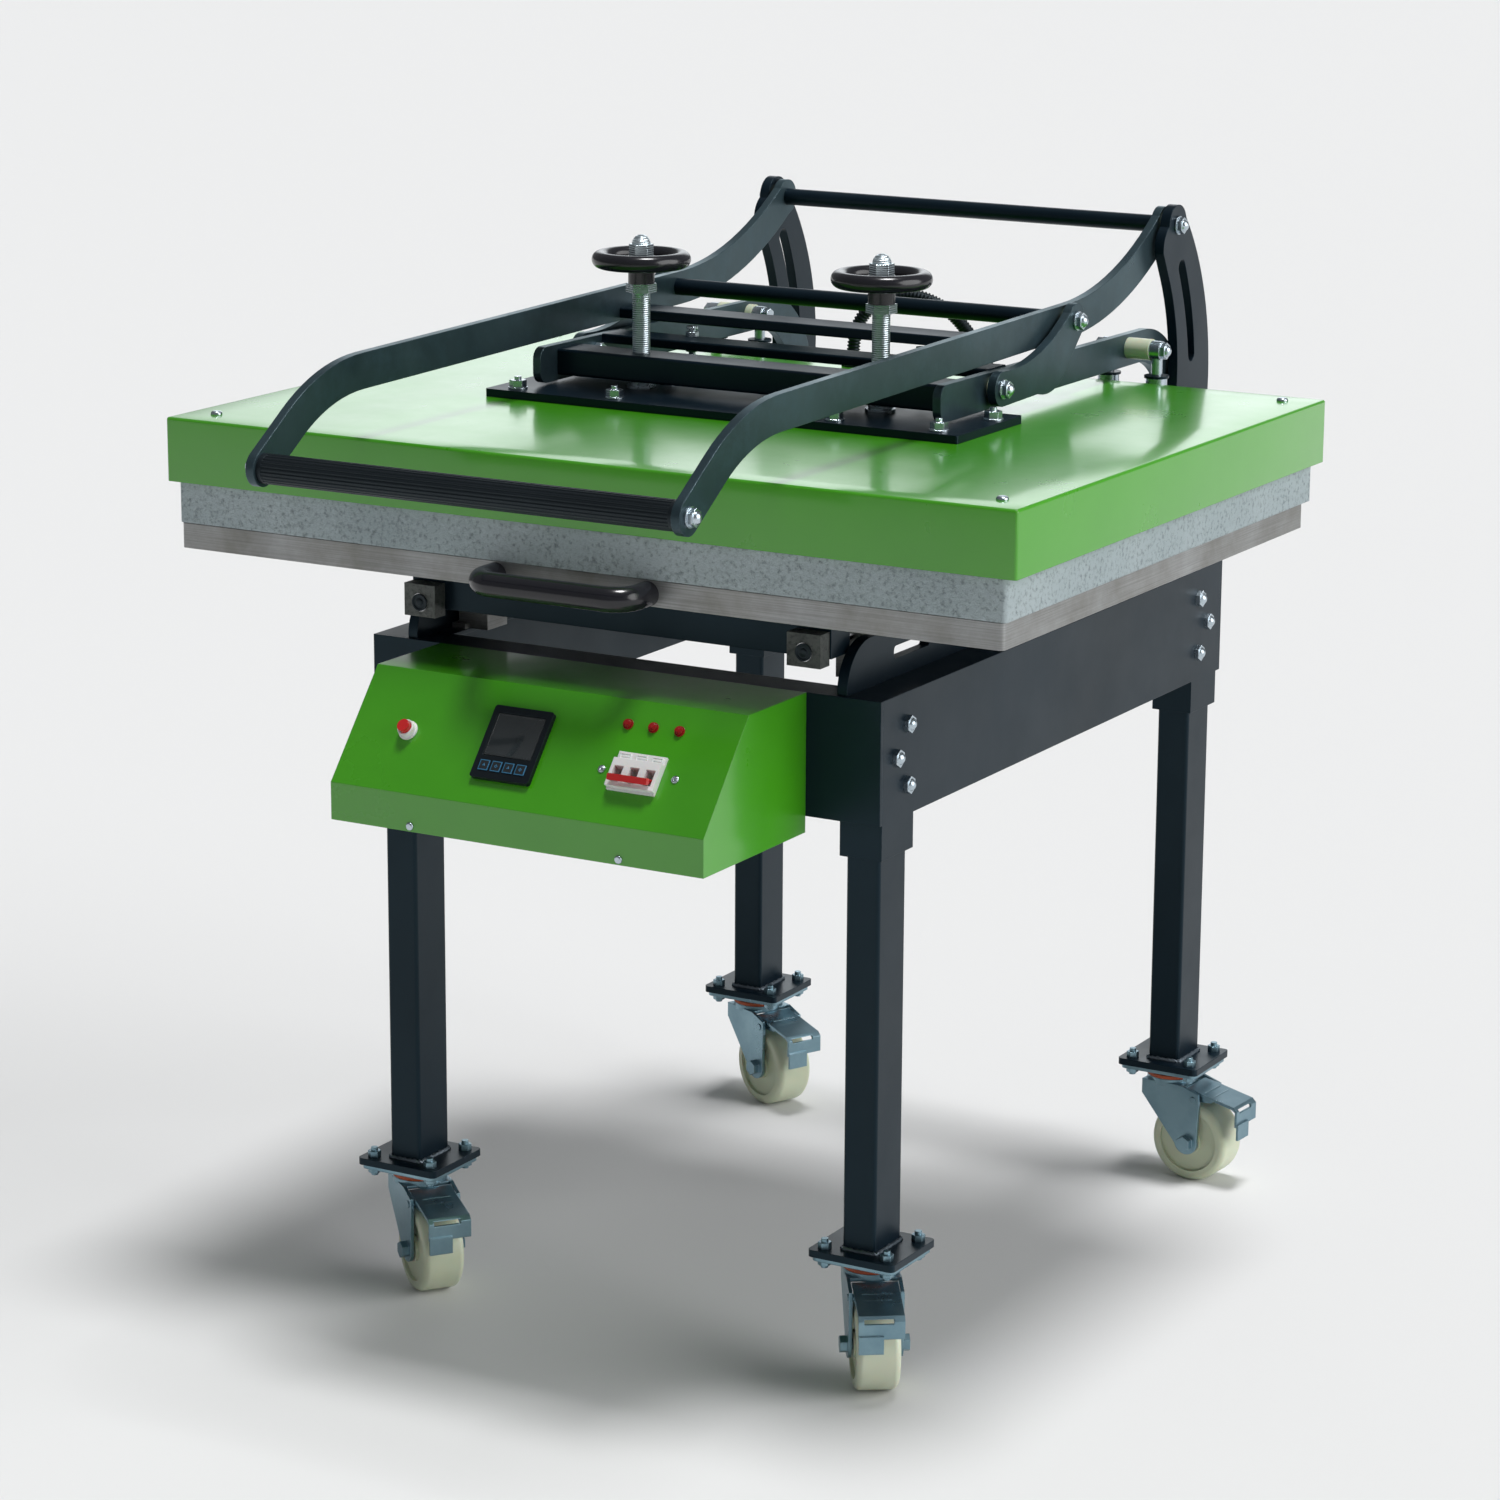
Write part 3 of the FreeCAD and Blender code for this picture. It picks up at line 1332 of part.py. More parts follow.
def placed_castor(shape, name):
    """A castor piece turned by its yaw and moved under its leg."""
    x, y = castor_frame_centre(name)
    shape = shape.copy()
    shape.rotate(V(0, 0, 0), Z_AXIS, castor_yaw[name])
    shape.translate(V(x, y, 0))
    return shape


# ================================================================ assembly
def build():
    """Every node of the press, by name."""
    rail = make_rail()
    side_plate = make_side_plate()
    lever = make_lever()
    link = make_link()
    arm = make_swing_arm()
    nodes = {
        "right_rail": rail,
        "left_rail": mirrored(rail),
        "front_beam": make_beam(frame_front, 1),
        "rear_beam": make_rear_beam(),
        "right_side_plate": side_plate,
        "left_side_plate": mirrored(side_plate),
        "legs": make_legs(),
        "frame_bolts": make_frame_bolts(),
        "linear_bearings": make_bearings(),
        "cable_glands": make_cable_glands(),
        "castor_plates": make_castor_plates(),
        "control_box": make_control_box(),
        "temperature_controller": make_controller(),
        "panel_fittings": make_panel_fittings(),
        "breaker_body": make_breaker(),
        "start_button": make_start_button(),
        "breaker_toggle": make_breaker_toggle(),
        "right_lever": lever,
        "left_lever": mirrored(lever),
        "lever_cross_bars": group(make_tie_rods() + [make_brace()]),
        "handle_grip": make_grip(),
        "lever_bolts": make_lever_bolts(),
        "lever_washers": make_lever_washers(),
        "toggle_links": group(both_sides(link)),
        "link_bolts": make_link_bolts(),
        "right_swing_arm": arm,
        "left_swing_arm": mirrored(arm),
        "arm_cross_bars": group([make_front_tube(), make_middle_bar()]),
        "pressure_plate": make_pressure_plate(),
        "head_fasteners": make_head_fasteners(),
        "heater_cover": make_cover(),
        "insulation_board": make_insulation(),
        "heated_platen": make_platen(),
        "nylon_spacers": make_nylon_spacers(),
        "rear_hangers": make_hangers(),
        "hanger_brackets": make_hanger_brackets(),
        "head_gland": make_head_gland(),
        "conduit": make_conduit(),
        "lower_table": make_table(),
        "silicone_pad": make_pad(),
        "table_carriage": make_carriage(),
        "slide_rods": make_slide_rods(),
        "rod_end_blocks": make_rod_ends(),
        "pull_handle": make_pull_handle(),
    }
    for side, name in ((-1, "left"), (1, "right")):
        nodes[name + "_handwheel"] = make_handwheel(side)
        nodes[name + "_spindle"] = make_spindle(side)
    for name in castor_yaw:
        nodes[name + "_fork"] = make_fork(name)
        nodes[name + "_wheel"] = make_wheel(name)
        nodes[name + "_pedal"] = make_pedal(name)
    return nodes


def middle_offset(nodes):
    """Y of the middle of the whole press, counted from the middle of the legs."""
    boxes = [shape.BoundBox for shape in nodes.values()]
    return (min(b.YMin for b in boxes) + max(b.YMax for b in boxes)) / 2


def main():
    """Build, centre and write every node."""
    nodes = build()
    offset = middle_offset(nodes)
    print("middle offset %.4f, nodes %d" % (offset, len(nodes)))
    os.makedirs("parts", exist_ok=True)
    for name, shape in nodes.items():
        moved = shape.copy()
        moved.translate(V(0, -offset, 0))
        moved.exportStep("parts/%s.step" % name)
        if not moved.isValid():
            print("not valid:", name)


main()
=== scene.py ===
"""Looks of a large flat-bed press on castors: finishes, modelled details, light and camera.

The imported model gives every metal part. This script gives each part its finish, replaces the
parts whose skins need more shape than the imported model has, and adds the small trim.
"""
import logging
import math
from dataclasses import dataclass, field
from enum import Enum
from typing import Callable

import bpy
from mathutils import Matrix, Vector


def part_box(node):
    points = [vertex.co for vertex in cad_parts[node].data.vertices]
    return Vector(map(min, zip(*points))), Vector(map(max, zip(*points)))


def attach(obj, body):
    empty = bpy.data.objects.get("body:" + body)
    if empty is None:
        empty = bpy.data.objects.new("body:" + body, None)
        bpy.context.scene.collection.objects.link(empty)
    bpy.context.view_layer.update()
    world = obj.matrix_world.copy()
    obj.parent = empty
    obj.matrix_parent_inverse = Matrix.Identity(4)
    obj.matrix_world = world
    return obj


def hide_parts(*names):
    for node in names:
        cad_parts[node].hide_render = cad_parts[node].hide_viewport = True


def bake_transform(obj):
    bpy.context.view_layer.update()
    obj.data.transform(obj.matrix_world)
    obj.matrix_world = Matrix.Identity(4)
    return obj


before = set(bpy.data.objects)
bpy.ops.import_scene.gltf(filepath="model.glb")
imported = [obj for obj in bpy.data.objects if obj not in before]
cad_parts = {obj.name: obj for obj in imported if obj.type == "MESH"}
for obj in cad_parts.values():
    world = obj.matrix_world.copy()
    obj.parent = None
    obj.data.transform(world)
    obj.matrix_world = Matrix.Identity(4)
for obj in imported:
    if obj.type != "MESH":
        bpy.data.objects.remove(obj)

log = logging.getLogger("press")
Colour = tuple[float, float, float]
Point = tuple[float, float, float]
Steps = tuple[tuple[float, float], ...]
CORNERS: tuple[str, ...] = ("front_left", "rear_left", "front_right", "rear_right")

MIDDLE_Y: float = 0.1327
"""How far the middle of the legs lies behind the middle of the whole press."""


def at_legs(x: float, y: float, z: float) -> Vector:
    """Turn a place counted from the middle of the legs, in millimetres, into metres in the frame.

    Args:
        x: Distance to the right.
        y: Distance behind the middle of the legs.
        z: Height over the floor.

    Returns:
        The point in the row frame.
    """
    return Vector((x / 1000, y / 1000 + MIDDLE_Y, z / 1000))


class Grain(Enum):
    """The surface pattern of a finish."""

    PEEL = "peel"
    CAST = "cast"
    MILLED = "milled"
    MOTTLED = "mottled"
    THREADED = "threaded"
    SMOOTH = "smooth"
    FIBRE = "fibre"


@dataclass(frozen=True)
class Sun:
    """A broad sun: its name, turn in degrees, strength, and apparent size in degrees."""

    name: str
    turn: Point
    strength: float
    size: float


@dataclass(frozen=True)
class Pattern:
    """A noise pattern: repeats to the metre, octaves, and the weight of the finer ones."""

    scale: float
    detail: float = 4.0
    rough: float = 0.5


METAL_TONE = Pattern(14.0, 6.0, 0.65)
PAINT_TONE = Pattern(3.5, 5.0, 0.6)
HANDLING = Pattern(9.0, 5.0, 0.6)
WORN_SPOTS = Pattern(45.0, 6.0, 0.7)
ORANGE_PEEL = Pattern(330.0, 2.0)
SHEET_WAVE = Pattern(5.0, 1.0)
SAND_PITS = Pattern(210.0, 6.0, 0.75)
SAND_SPECKS = Pattern(190.0, 5.0, 0.7)
BRUSH_STREAKS = Pattern(1.0, 6.0, 0.7)
OXIDE_CLOUDS = Pattern(26.0, 8.0, 0.72)
OXIDE_GRAIN = Pattern(160.0)
FIBRES = Pattern(90.0, 8.0, 0.8)
FINE_GRAIN = Pattern(140.0, 3.0)
BRUSH_STRETCH: Point = (6.0, 6.0, 900.0)
THREAD_SCALE: float = 130.0


# ================================================================ finishes
class Graph:
    """A material's node graph, with short calls for the nodes that the finishes share."""

    def __init__(self, name: str) -> None:
        """Start an empty graph with a shader and an output.

        Args:
            name: The material's name.
        """
        self.material = bpy.data.materials.new(name)
        self.material.use_nodes = True
        self.tree = self.material.node_tree
        self.tree.nodes.clear()
        self.output = self.tree.nodes.new("ShaderNodeOutputMaterial")
        self.shader = self.tree.nodes.new("ShaderNodeBsdfPrincipled")
        self.link(self.shader.outputs[0], self.output.inputs[0])
        self.place = self.tree.nodes.new("ShaderNodeTexCoord").outputs["Object"]

    def link(self, source: bpy.types.NodeSocket, target: bpy.types.NodeSocket) -> None:
        """Join an output socket to an input socket."""
        self.tree.links.new(source, target)

    def stretched(self, scale: Point) -> bpy.types.NodeSocket:
        """Stretch the object coordinates.

        Args:
            scale: The factor along each axis.

        Returns:
            The stretched coordinates.
        """
        mapping = self.tree.nodes.new("ShaderNodeMapping")
        mapping.inputs["Scale"].default_value = scale
        self.link(self.place, mapping.inputs["Vector"])
        return mapping.outputs[0]

    def noise(self, pattern: Pattern, along: bpy.types.NodeSocket | None = None) -> bpy.types.NodeSocket:
        """Add a noise pattern.

        Args:
            pattern: Its scale, detail and roughness.
            along: The coordinates it reads, or None for plain object coordinates.

        Returns:
            The pattern's value socket.
        """
        node = self.tree.nodes.new("ShaderNodeTexNoise")
        node.inputs["Scale"].default_value = pattern.scale
        node.inputs["Detail"].default_value = pattern.detail
        node.inputs["Roughness"].default_value = pattern.rough
        self.link(self.place if along is None else along, node.inputs["Vector"])
        return node.outputs["Fac"]

    def span(self, value: bpy.types.NodeSocket, low: float, high: float,
             to_low: float, to_high: float) -> bpy.types.NodeSocket:
        """Map a value from one span to another.

        Args:
            value: The value to map.
            low: Where the source span starts.
            high: Where it ends.
            to_low: What the start becomes.
            to_high: What the end becomes.

        Returns:
            The mapped value.
        """
        node = self.tree.nodes.new("ShaderNodeMapRange")
        self.link(value, node.inputs["Value"])
        for key, number in (("From Min", low), ("From Max", high), ("To Min", to_low), ("To Max", to_high)):
            node.inputs[key].default_value = number
        return node.outputs["Result"]

    def blend(self, share: bpy.types.NodeSocket, first: Colour | bpy.types.NodeSocket,
              second: Colour) -> bpy.types.NodeSocket:
        """Mix two colours.

        Args:
            share: How much of the second colour shows.
            first: The first colour, or the socket that gives it.
            second: The second colour.

        Returns:
            The mixed colour.
        """
        node = self.tree.nodes.new("ShaderNodeMix")
        node.data_type = "RGBA"
        self.link(share, node.inputs["Factor"])
        if isinstance(first, tuple):
            node.inputs[6].default_value = (*first, 1.0)
        else:
            self.link(first, node.inputs[6])
        node.inputs[7].default_value = (*second, 1.0)
        return node.outputs[2]

    def product(self, first: bpy.types.NodeSocket, second: bpy.types.NodeSocket) -> bpy.types.NodeSocket:
        """Multiply two values.

        Args:
            first: One value.
            second: The other value.

        Returns:
            Their product.
        """
        node = self.tree.nodes.new("ShaderNodeMath")
        node.operation = "MULTIPLY"
        self.link(first, node.inputs[0])
        self.link(second, node.inputs[1])
        return node.outputs[0]

    def soft_edge(self, radius: float) -> bpy.types.NodeSocket:
        """Make a normal that rounds sharp edges.

        Args:
            radius: How far the rounding reaches, in metres.

        Returns:
            The rounded normal.
        """
        node = self.tree.nodes.new("ShaderNodeBevel")
        node.samples = 4
        node.inputs["Radius"].default_value = radius
        return node.outputs["Normal"]

    def edge_share(self, radius: float) -> bpy.types.NodeSocket:
        """Find how close a spot is to a sharp edge.

        Args:
            radius: How far from the edge it counts as close, in metres.

        Returns:
            A share from 0 on a flat to about 1 on the edge.
        """
        rounded = self.soft_edge(radius)
        normal = self.tree.nodes.new("ShaderNodeNewGeometry").outputs["Normal"]
        dot = self.tree.nodes.new("ShaderNodeVectorMath")
        dot.operation = "DOT_PRODUCT"
        self.link(rounded, dot.inputs[0])
        self.link(normal, dot.inputs[1])
        return self.span(dot.outputs["Value"], 0.985, 0.80, 0.0, 1.0)

    def relief(self, height: bpy.types.NodeSocket, depth: float, strength: float,
               under: bpy.types.NodeSocket | None = None) -> bpy.types.NodeSocket:
        """Add a bump.

        Args:
            height: The pattern that gives the height.
            depth: Its real depth in metres.
            strength: How much of it shows.
            under: The normal it is laid on.

        Returns:
            The bumped normal.
        """
        node = self.tree.nodes.new("ShaderNodeBump")
        node.inputs["Strength"].default_value = strength
        node.inputs["Distance"].default_value = depth
        self.link(height, node.inputs["Height"])
        if under is not None:
            self.link(under, node.inputs["Normal"])
        return node.outputs["Normal"]


@dataclass(frozen=True)
class Finish:
    """One surface finish of the press."""

    name: str
    colour: Colour
    second: Colour
    roughness: float
    spread: float = 0.08
    metal: float = 0.0
    grain: Grain = Grain.SMOOTH
    coat: float = 0.0
    coat_roughness: float = 0.1
    edge: Colour | None = None
    edge_radius: float = 0.0006
    subsurface: float = 0.0
    specular: float = 0.5
    tint: Colour = (1.0, 1.0, 1.0)

    def material(self) -> bpy.types.Material:
        """Give the finish's material, made once."""
        known = bpy.data.materials.get(self.name)
        return known if known is not None else self._make()

    def _make(self) -> bpy.types.Material:
        """Build the node graph of the finish.

        Returns:
            The new material.
        """
        graph = Graph(self.name)
        shader = graph.shader
        tone = graph.noise(METAL_TONE if self.metal > 0.5 else PAINT_TONE)
        colour = graph.blend(graph.span(tone, 0.35, 0.68, 0.0, 1.0), self.colour, self.second)
        rough = graph.span(graph.noise(HANDLING), 0.3, 0.7,
                           max(0.03, self.roughness - self.spread), self.roughness + self.spread)
        colour, normal = self._grained(graph, colour, graph.soft_edge(self.edge_radius * 1.6))
        if self.edge is not None:
            worn = graph.product(graph.edge_share(self.edge_radius),
                                 graph.span(graph.noise(WORN_SPOTS), 0.48, 0.62, 0.0, 0.75))
            colour = graph.blend(worn, colour, self.edge)
        graph.link(colour, shader.inputs["Base Color"])
        graph.link(rough, shader.inputs["Roughness"])
        graph.link(normal, shader.inputs["Normal"])
        shader.inputs["Metallic"].default_value = self.metal
        shader.inputs["Coat Weight"].default_value = self.coat
        shader.inputs["Coat Roughness"].default_value = self.coat_roughness
        shader.inputs["Specular IOR Level"].default_value = self.specular
        shader.inputs["Specular Tint"].default_value = (*self.tint, 1.0)
        shader.inputs["Subsurface Weight"].default_value = self.subsurface
        shader.inputs["Subsurface Scale"].default_value = 0.004
        return graph.material

    def _grained(self, graph: Graph, colour: bpy.types.NodeSocket,
                 normal: bpy.types.NodeSocket) -> tuple[bpy.types.NodeSocket, bpy.types.NodeSocket]:
        """Lay the finish's own surface pattern on it.

        Args:
            graph: The finish's node graph.
            colour: The colour before the pattern.
            normal: The normal before the pattern.

        Returns:
            The colour and the normal with the pattern.
        """
        match self.grain:
            case Grain.PEEL:
                normal = graph.relief(graph.noise(ORANGE_PEEL), 0.00012, 0.12, normal)
                normal = graph.relief(graph.noise(SHEET_WAVE), 0.002, 0.04, normal)
            case Grain.CAST:
                specks = graph.span(graph.noise(SAND_SPECKS), 0.50, 0.68, 0.0, 0.75)
                colour = graph.blend(specks, colour, self._shade(0.38))
                pits = graph.span(graph.noise(SAND_PITS), 0.42, 0.60, 0.0, 1.0)
                normal = graph.relief(pits, 0.0012, 0.55, normal)
            case Grain.MILLED:
                streaks = graph.noise(BRUSH_STREAKS, graph.stretched(BRUSH_STRETCH))
                colour = graph.blend(graph.span(streaks, 0.42, 0.66, 0.0, 0.5), colour, self._shade(0.55))
                normal = graph.relief(streaks, 0.0004, 0.25, normal)
            case Grain.MOTTLED:
                clouds = graph.span(graph.noise(OXIDE_CLOUDS), 0.46, 0.66, 0.0, 0.55)
                colour = graph.blend(clouds, colour, self._shade(2.4))
                normal = graph.relief(graph.noise(OXIDE_GRAIN), 0.0004, 0.10, normal)
            case Grain.THREADED:
                normal = self._thread(graph, normal)
            case Grain.FIBRE:
                normal = graph.relief(graph.noise(FIBRES), 0.001, 0.4, normal)
            case _:
                normal = graph.relief(graph.noise(FINE_GRAIN), 0.0002, 0.06, normal)
        return colour, normal

    def _shade(self, share: float) -> Colour:
        """Give a darker or lighter shade of the first colour."""
        return tuple(part * share for part in self.colour)

    def _thread(self, graph: Graph, normal: bpy.types.NodeSocket) -> bpy.types.NodeSocket:
        """Lay the fine rings of a screw thread, along Z, on a normal.

        Args:
            graph: The finish's node graph.
            normal: The normal under the thread.

        Returns:
            The bumped normal.
        """
        wave = graph.tree.nodes.new("ShaderNodeTexWave")
        wave.bands_direction = "Z"
        wave.inputs["Scale"].default_value = THREAD_SCALE
        graph.link(graph.place, wave.inputs["Vector"])
        return graph.relief(wave.outputs["Fac"], 0.0008, 0.7, normal)


GREEN = Finish("green_powder_coat", (0.046, 0.300, 0.003), (0.056, 0.335, 0.005), 0.30, 0.04,
               grain=Grain.PEEL, coat=0.75, coat_roughness=0.13, edge=(0.13, 0.44, 0.05), edge_radius=0.0010)
BLACK = Finish("black_powder_coat", (0.0016, 0.0050, 0.0095), (0.0030, 0.0090, 0.0165), 0.36, 0.06,
               grain=Grain.PEEL, edge=(0.07, 0.10, 0.14), edge_radius=0.0008, specular=0.30,
               tint=(0.55, 0.85, 1.0))
LEVER_STEEL = Finish("blackened_steel", (0.014, 0.026, 0.034), (0.030, 0.050, 0.060), 0.36, 0.09, metal=0.30,
                     grain=Grain.MOTTLED, edge=(0.24, 0.32, 0.36), edge_radius=0.0008, specular=0.7,
                     tint=(0.65, 0.92, 1.0))
ZINC = Finish("bright_zinc", (0.60, 0.67, 0.72), (0.42, 0.50, 0.56), 0.26, 0.10, metal=1.0,
              edge=(0.85, 0.88, 0.90))
ZINC_THREAD = Finish("zinc_thread", (0.74, 0.83, 0.87), (0.58, 0.68, 0.74), 0.30, 0.08, metal=1.0,
                     grain=Grain.THREADED)
CASTOR_ZINC = Finish("castor_zinc", (0.25, 0.38, 0.44), (0.17, 0.28, 0.34), 0.33, 0.10, metal=0.9,
                     edge=(0.62, 0.72, 0.78), edge_radius=0.0009)
CAST = Finish("sand_cast_aluminium", (0.36, 0.43, 0.45), (0.46, 0.53, 0.55), 0.60, 0.12, metal=0.25,
              grain=Grain.CAST, edge=(0.75, 0.78, 0.80), edge_radius=0.0015)
MILLED = Finish("milled_aluminium", (0.24, 0.240, 0.225), (0.36, 0.37, 0.375), 0.42, 0.14, metal=0.70,
                grain=Grain.MILLED, edge=(0.72, 0.73, 0.75), edge_radius=0.0008)
# Aluminium darkened as painted shade: the rod end blocks sit in shade under the table, so their colour is
# kept far below bare aluminium.
SHADE_DARKENED_BLOCK = Finish("aluminium_darkened_for_shade", (0.10, 0.11, 0.105), (0.16, 0.17, 0.16), 0.48, 0.10, metal=0.6,
                    grain=Grain.CAST, edge=(0.35, 0.37, 0.36))
GROUND = Finish("ground_steel", (0.34, 0.37, 0.39), (0.25, 0.28, 0.30), 0.24, 0.05, metal=1.0)
NYLON = Finish("cream_nylon", (0.54, 0.59, 0.42), (0.64, 0.68, 0.53), 0.32, 0.08, subsurface=0.2)
SATIN_PLASTIC = Finish("satin_black_plastic", (0.0045, 0.006, 0.008), (0.008, 0.011, 0.014), 0.38, 0.08,
                       specular=0.35, tint=(0.7, 0.9, 1.0))
GLOSS_PLASTIC = Finish("gloss_black_plastic", (0.006, 0.007, 0.009), (0.009, 0.010, 0.013), 0.14, 0.05,
                       coat=0.5, coat_roughness=0.06, edge=(0.05, 0.055, 0.06))
WHITE_PLASTIC = Finish("white_moulding", (0.74, 0.75, 0.74), (0.80, 0.80, 0.79), 0.34, 0.06, subsurface=0.1)
RED_PLASTIC = Finish("red_moulding", (0.50, 0.012, 0.014), (0.62, 0.020, 0.020), 0.28, 0.06, coat=0.3)
LAMP_RED = Finish("lamp_red", (0.075, 0.002, 0.003), (0.14, 0.004, 0.005), 0.12, 0.04, coat=0.8)
SILICONE = Finish("silicone_sponge", (0.42, 0.11, 0.035), (0.50, 0.15, 0.05), 0.75, 0.08, grain=Grain.FIBRE)
BOARD = Finish("insulation_board", (0.62, 0.60, 0.50), (0.70, 0.68, 0.60), 0.85, 0.05, grain=Grain.FIBRE)
DISPLAY = Finish("display_glass", (0.018, 0.022, 0.024), (0.040, 0.047, 0.050), 0.07, 0.03, coat=0.6)
KEY_BLUE = Finish("key_outline", (0.030, 0.16, 0.30), (0.045, 0.20, 0.36), 0.40, 0.05)
KEY_FACE = Finish("key_face", (0.010, 0.013, 0.016), (0.016, 0.020, 0.025), 0.45, 0.05)
DUST_RING = Finish("dust_ring", (0.50, 0.085, 0.020), (0.36, 0.06, 0.018), 0.55, 0.10, grain=Grain.FIBRE)
WELD = Finish("weld_bead", (0.22, 0.26, 0.30), (0.06, 0.08, 0.10), 0.42, 0.15, metal=0.7, grain=Grain.FIBRE)


# ================================================================ modelling
class Bench:
    """Modelling calls that leave one object selected and active."""

    @staticmethod
    def clear() -> None:
        """Leave edit mode with nothing selected."""
        if bpy.context.mode != "OBJECT":
            bpy.ops.object.mode_set(mode="OBJECT")
        bpy.ops.object.select_all(action="DESELECT")

    @staticmethod
    def take(made: bpy.types.Object) -> None:
        """Select one object alone and make it active."""
        Bench.clear()
        made.select_set(True)
        bpy.context.view_layer.objects.active = made

    @staticmethod
    def block(name: str, low: Vector, high: Vector, turn: float = 0.0) -> bpy.types.Object:
        """Add a block between two corners.

        Args:
            name: The object's name.
            low: Its lowest corner before it is turned.
            high: Its highest corner.
            turn: A turn about X through the block's middle.

        Returns:
            The new object.
        """
        Bench.clear()
        bpy.ops.mesh.primitive_cube_add(size=1, location=(low + high) / 2, rotation=(turn, 0, 0))
        made = bpy.context.active_object
        made.name = name
        made.scale = high - low
        bpy.ops.object.transform_apply(location=True, rotation=True, scale=True)
        return made

    @staticmethod
    def drum(name: str, radius: float, depth: float, middle: Vector, turn: float = 0.0,
             sides: int = 48) -> bpy.types.Object:
        """Add an upright round bar.

        Args:
            name: The object's name.
            radius: Its radius.
            depth: Its height.
            middle: Its centre.
            turn: A turn about X through its centre.
            sides: Faces around it.

        Returns:
            The new object.
        """
        Bench.clear()
        bpy.ops.mesh.primitive_cylinder_add(vertices=sides, radius=radius, depth=depth,
                                            location=middle, rotation=(turn, 0, 0))
        made = bpy.context.active_object
        made.name = name
        bpy.ops.object.transform_apply(location=True, rotation=True, scale=True)
        return made

    @staticmethod
    def pick(made: bpy.types.Object, wanted: Callable[[bpy.types.MeshPolygon], bool]) -> None:
        """Enter edit mode with only the wanted faces selected.

        Args:
            made: The object to edit.
            wanted: Says whether a face is selected.
        """
        bpy.ops.object.mode_set(mode="OBJECT")
        bpy.context.tool_settings.mesh_select_mode = (False, False, True)
        mesh = made.data
        mesh.vertices.foreach_set("select", [False] * len(mesh.vertices))
        mesh.edges.foreach_set("select", [False] * len(mesh.edges))
        for face in mesh.polygons:
            face.select = bool(wanted(face))
        bpy.ops.object.mode_set(mode="EDIT")

    @staticmethod
    def pick_edges(made: bpy.types.Object, wanted: Callable[[Vector, Vector], bool]) -> None:
        """Enter edit mode with only the wanted edges selected.

        Args:
            made: The object to edit.
            wanted: Says whether the edge between two points is selected.
        """
        bpy.ops.object.mode_set(mode="OBJECT")
        bpy.context.tool_settings.mesh_select_mode = (False, True, False)
        mesh = made.data
        mesh.polygons.foreach_set("select", [False] * len(mesh.polygons))
        mesh.vertices.foreach_set("select", [False] * len(mesh.vertices))
        for edge in mesh.edges:
            first, second = (mesh.vertices[i].co for i in edge.vertices)
            edge.select = bool(wanted(first, second))
        bpy.ops.object.mode_set(mode="EDIT")

    @staticmethod
    def facing(direction: Vector, beyond: float | None = None) -> Callable[[bpy.types.MeshPolygon], bool]:
        """Make a test for faces that look along a direction.

        Args:
            direction: The direction, of length one.
            beyond: How far along it a face's middle has to lie, or None for anywhere.

        Returns:
            The test.
        """
        def test(face: bpy.types.MeshPolygon) -> bool:
            """Say whether one face looks that way."""
            along = face.center.dot(direction)
            return face.normal.dot(direction) > 0.99 and (beyond is None or along > beyond)
        return test

    @staticmethod
    def crown(made: bpy.types.Object, out: Vector, steps: Steps) -> None:
        """Step the outermost face of a piece in and out.

        Args:
            made: The piece.
            out: The direction in which the face looks.
            steps: Pairs of inset and rise in millimetres, taken one after the other.
        """
        top = max(vertex.co.dot(out) for vertex in made.data.vertices)
        Bench.pick(made, Bench.facing(out, top - 0.0001))
        for inset, rise in steps:
            bpy.ops.mesh.inset(thickness=inset / 1000, depth=0)
            if rise:
                bpy.ops.mesh.extrude_region_move(TRANSFORM_OT_translate={"value": out * (rise / 1000)})
        bpy.ops.object.mode_set(mode="OBJECT")

    @staticmethod
    def modify(made: bpy.types.Object, kind: str, **settings: object) -> None:
        """Add a modifier and apply it.

        Args:
            made: The object.
            kind: The modifier's type.
            settings: Its settings.
        """
        Bench.take(made)
        modifier = made.modifiers.new(kind.lower(), kind)
        for key, value in settings.items():
            setattr(modifier, key, value)
        bpy.ops.object.modifier_apply(modifier=modifier.name)

    @staticmethod
    def ease(made: bpy.types.Object, width: float, segments: int = 2) -> None:
        """Round the sharp edges of a piece.

        Args:
            made: The piece.
            width: How far the rounding reaches, in metres.
            segments: Faces across it.
        """
        Bench.modify(made, "BEVEL", width=width, segments=segments, limit_method="ANGLE")

    @staticmethod
    def smooth(made: bpy.types.Object, angle: float = 35.0) -> bpy.types.Object:
        """Turn the faces outwards and smooth them.

        Args:
            made: The modelled object.
            angle: Edges sharper than this stay sharp, in degrees.

        Returns:
            The same object.
        """
        Bench.take(made)
        bpy.ops.object.mode_set(mode="EDIT")
        bpy.ops.mesh.select_all(action="SELECT")
        bpy.ops.mesh.normals_make_consistent(inside=False)
        bpy.ops.object.mode_set(mode="OBJECT")
        bpy.ops.object.shade_smooth_by_angle(angle=math.radians(angle))
        return made

    @staticmethod
    def twin(made: bpy.types.Object, name: str, shift: Point) -> bpy.types.Object:
        """Copy a piece, with a mesh of its own, to another place.

        Args:
            made: The piece to copy.
            name: The copy's name.
            shift: How far the copy stands from it, in millimetres.

        Returns:
            The copy.
        """
        copy = bpy.data.objects.new(name, made.data.copy())
        copy.data.transform(Matrix.Translation(Vector(shift) / 1000))
        bpy.context.scene.collection.objects.link(copy)
        return copy


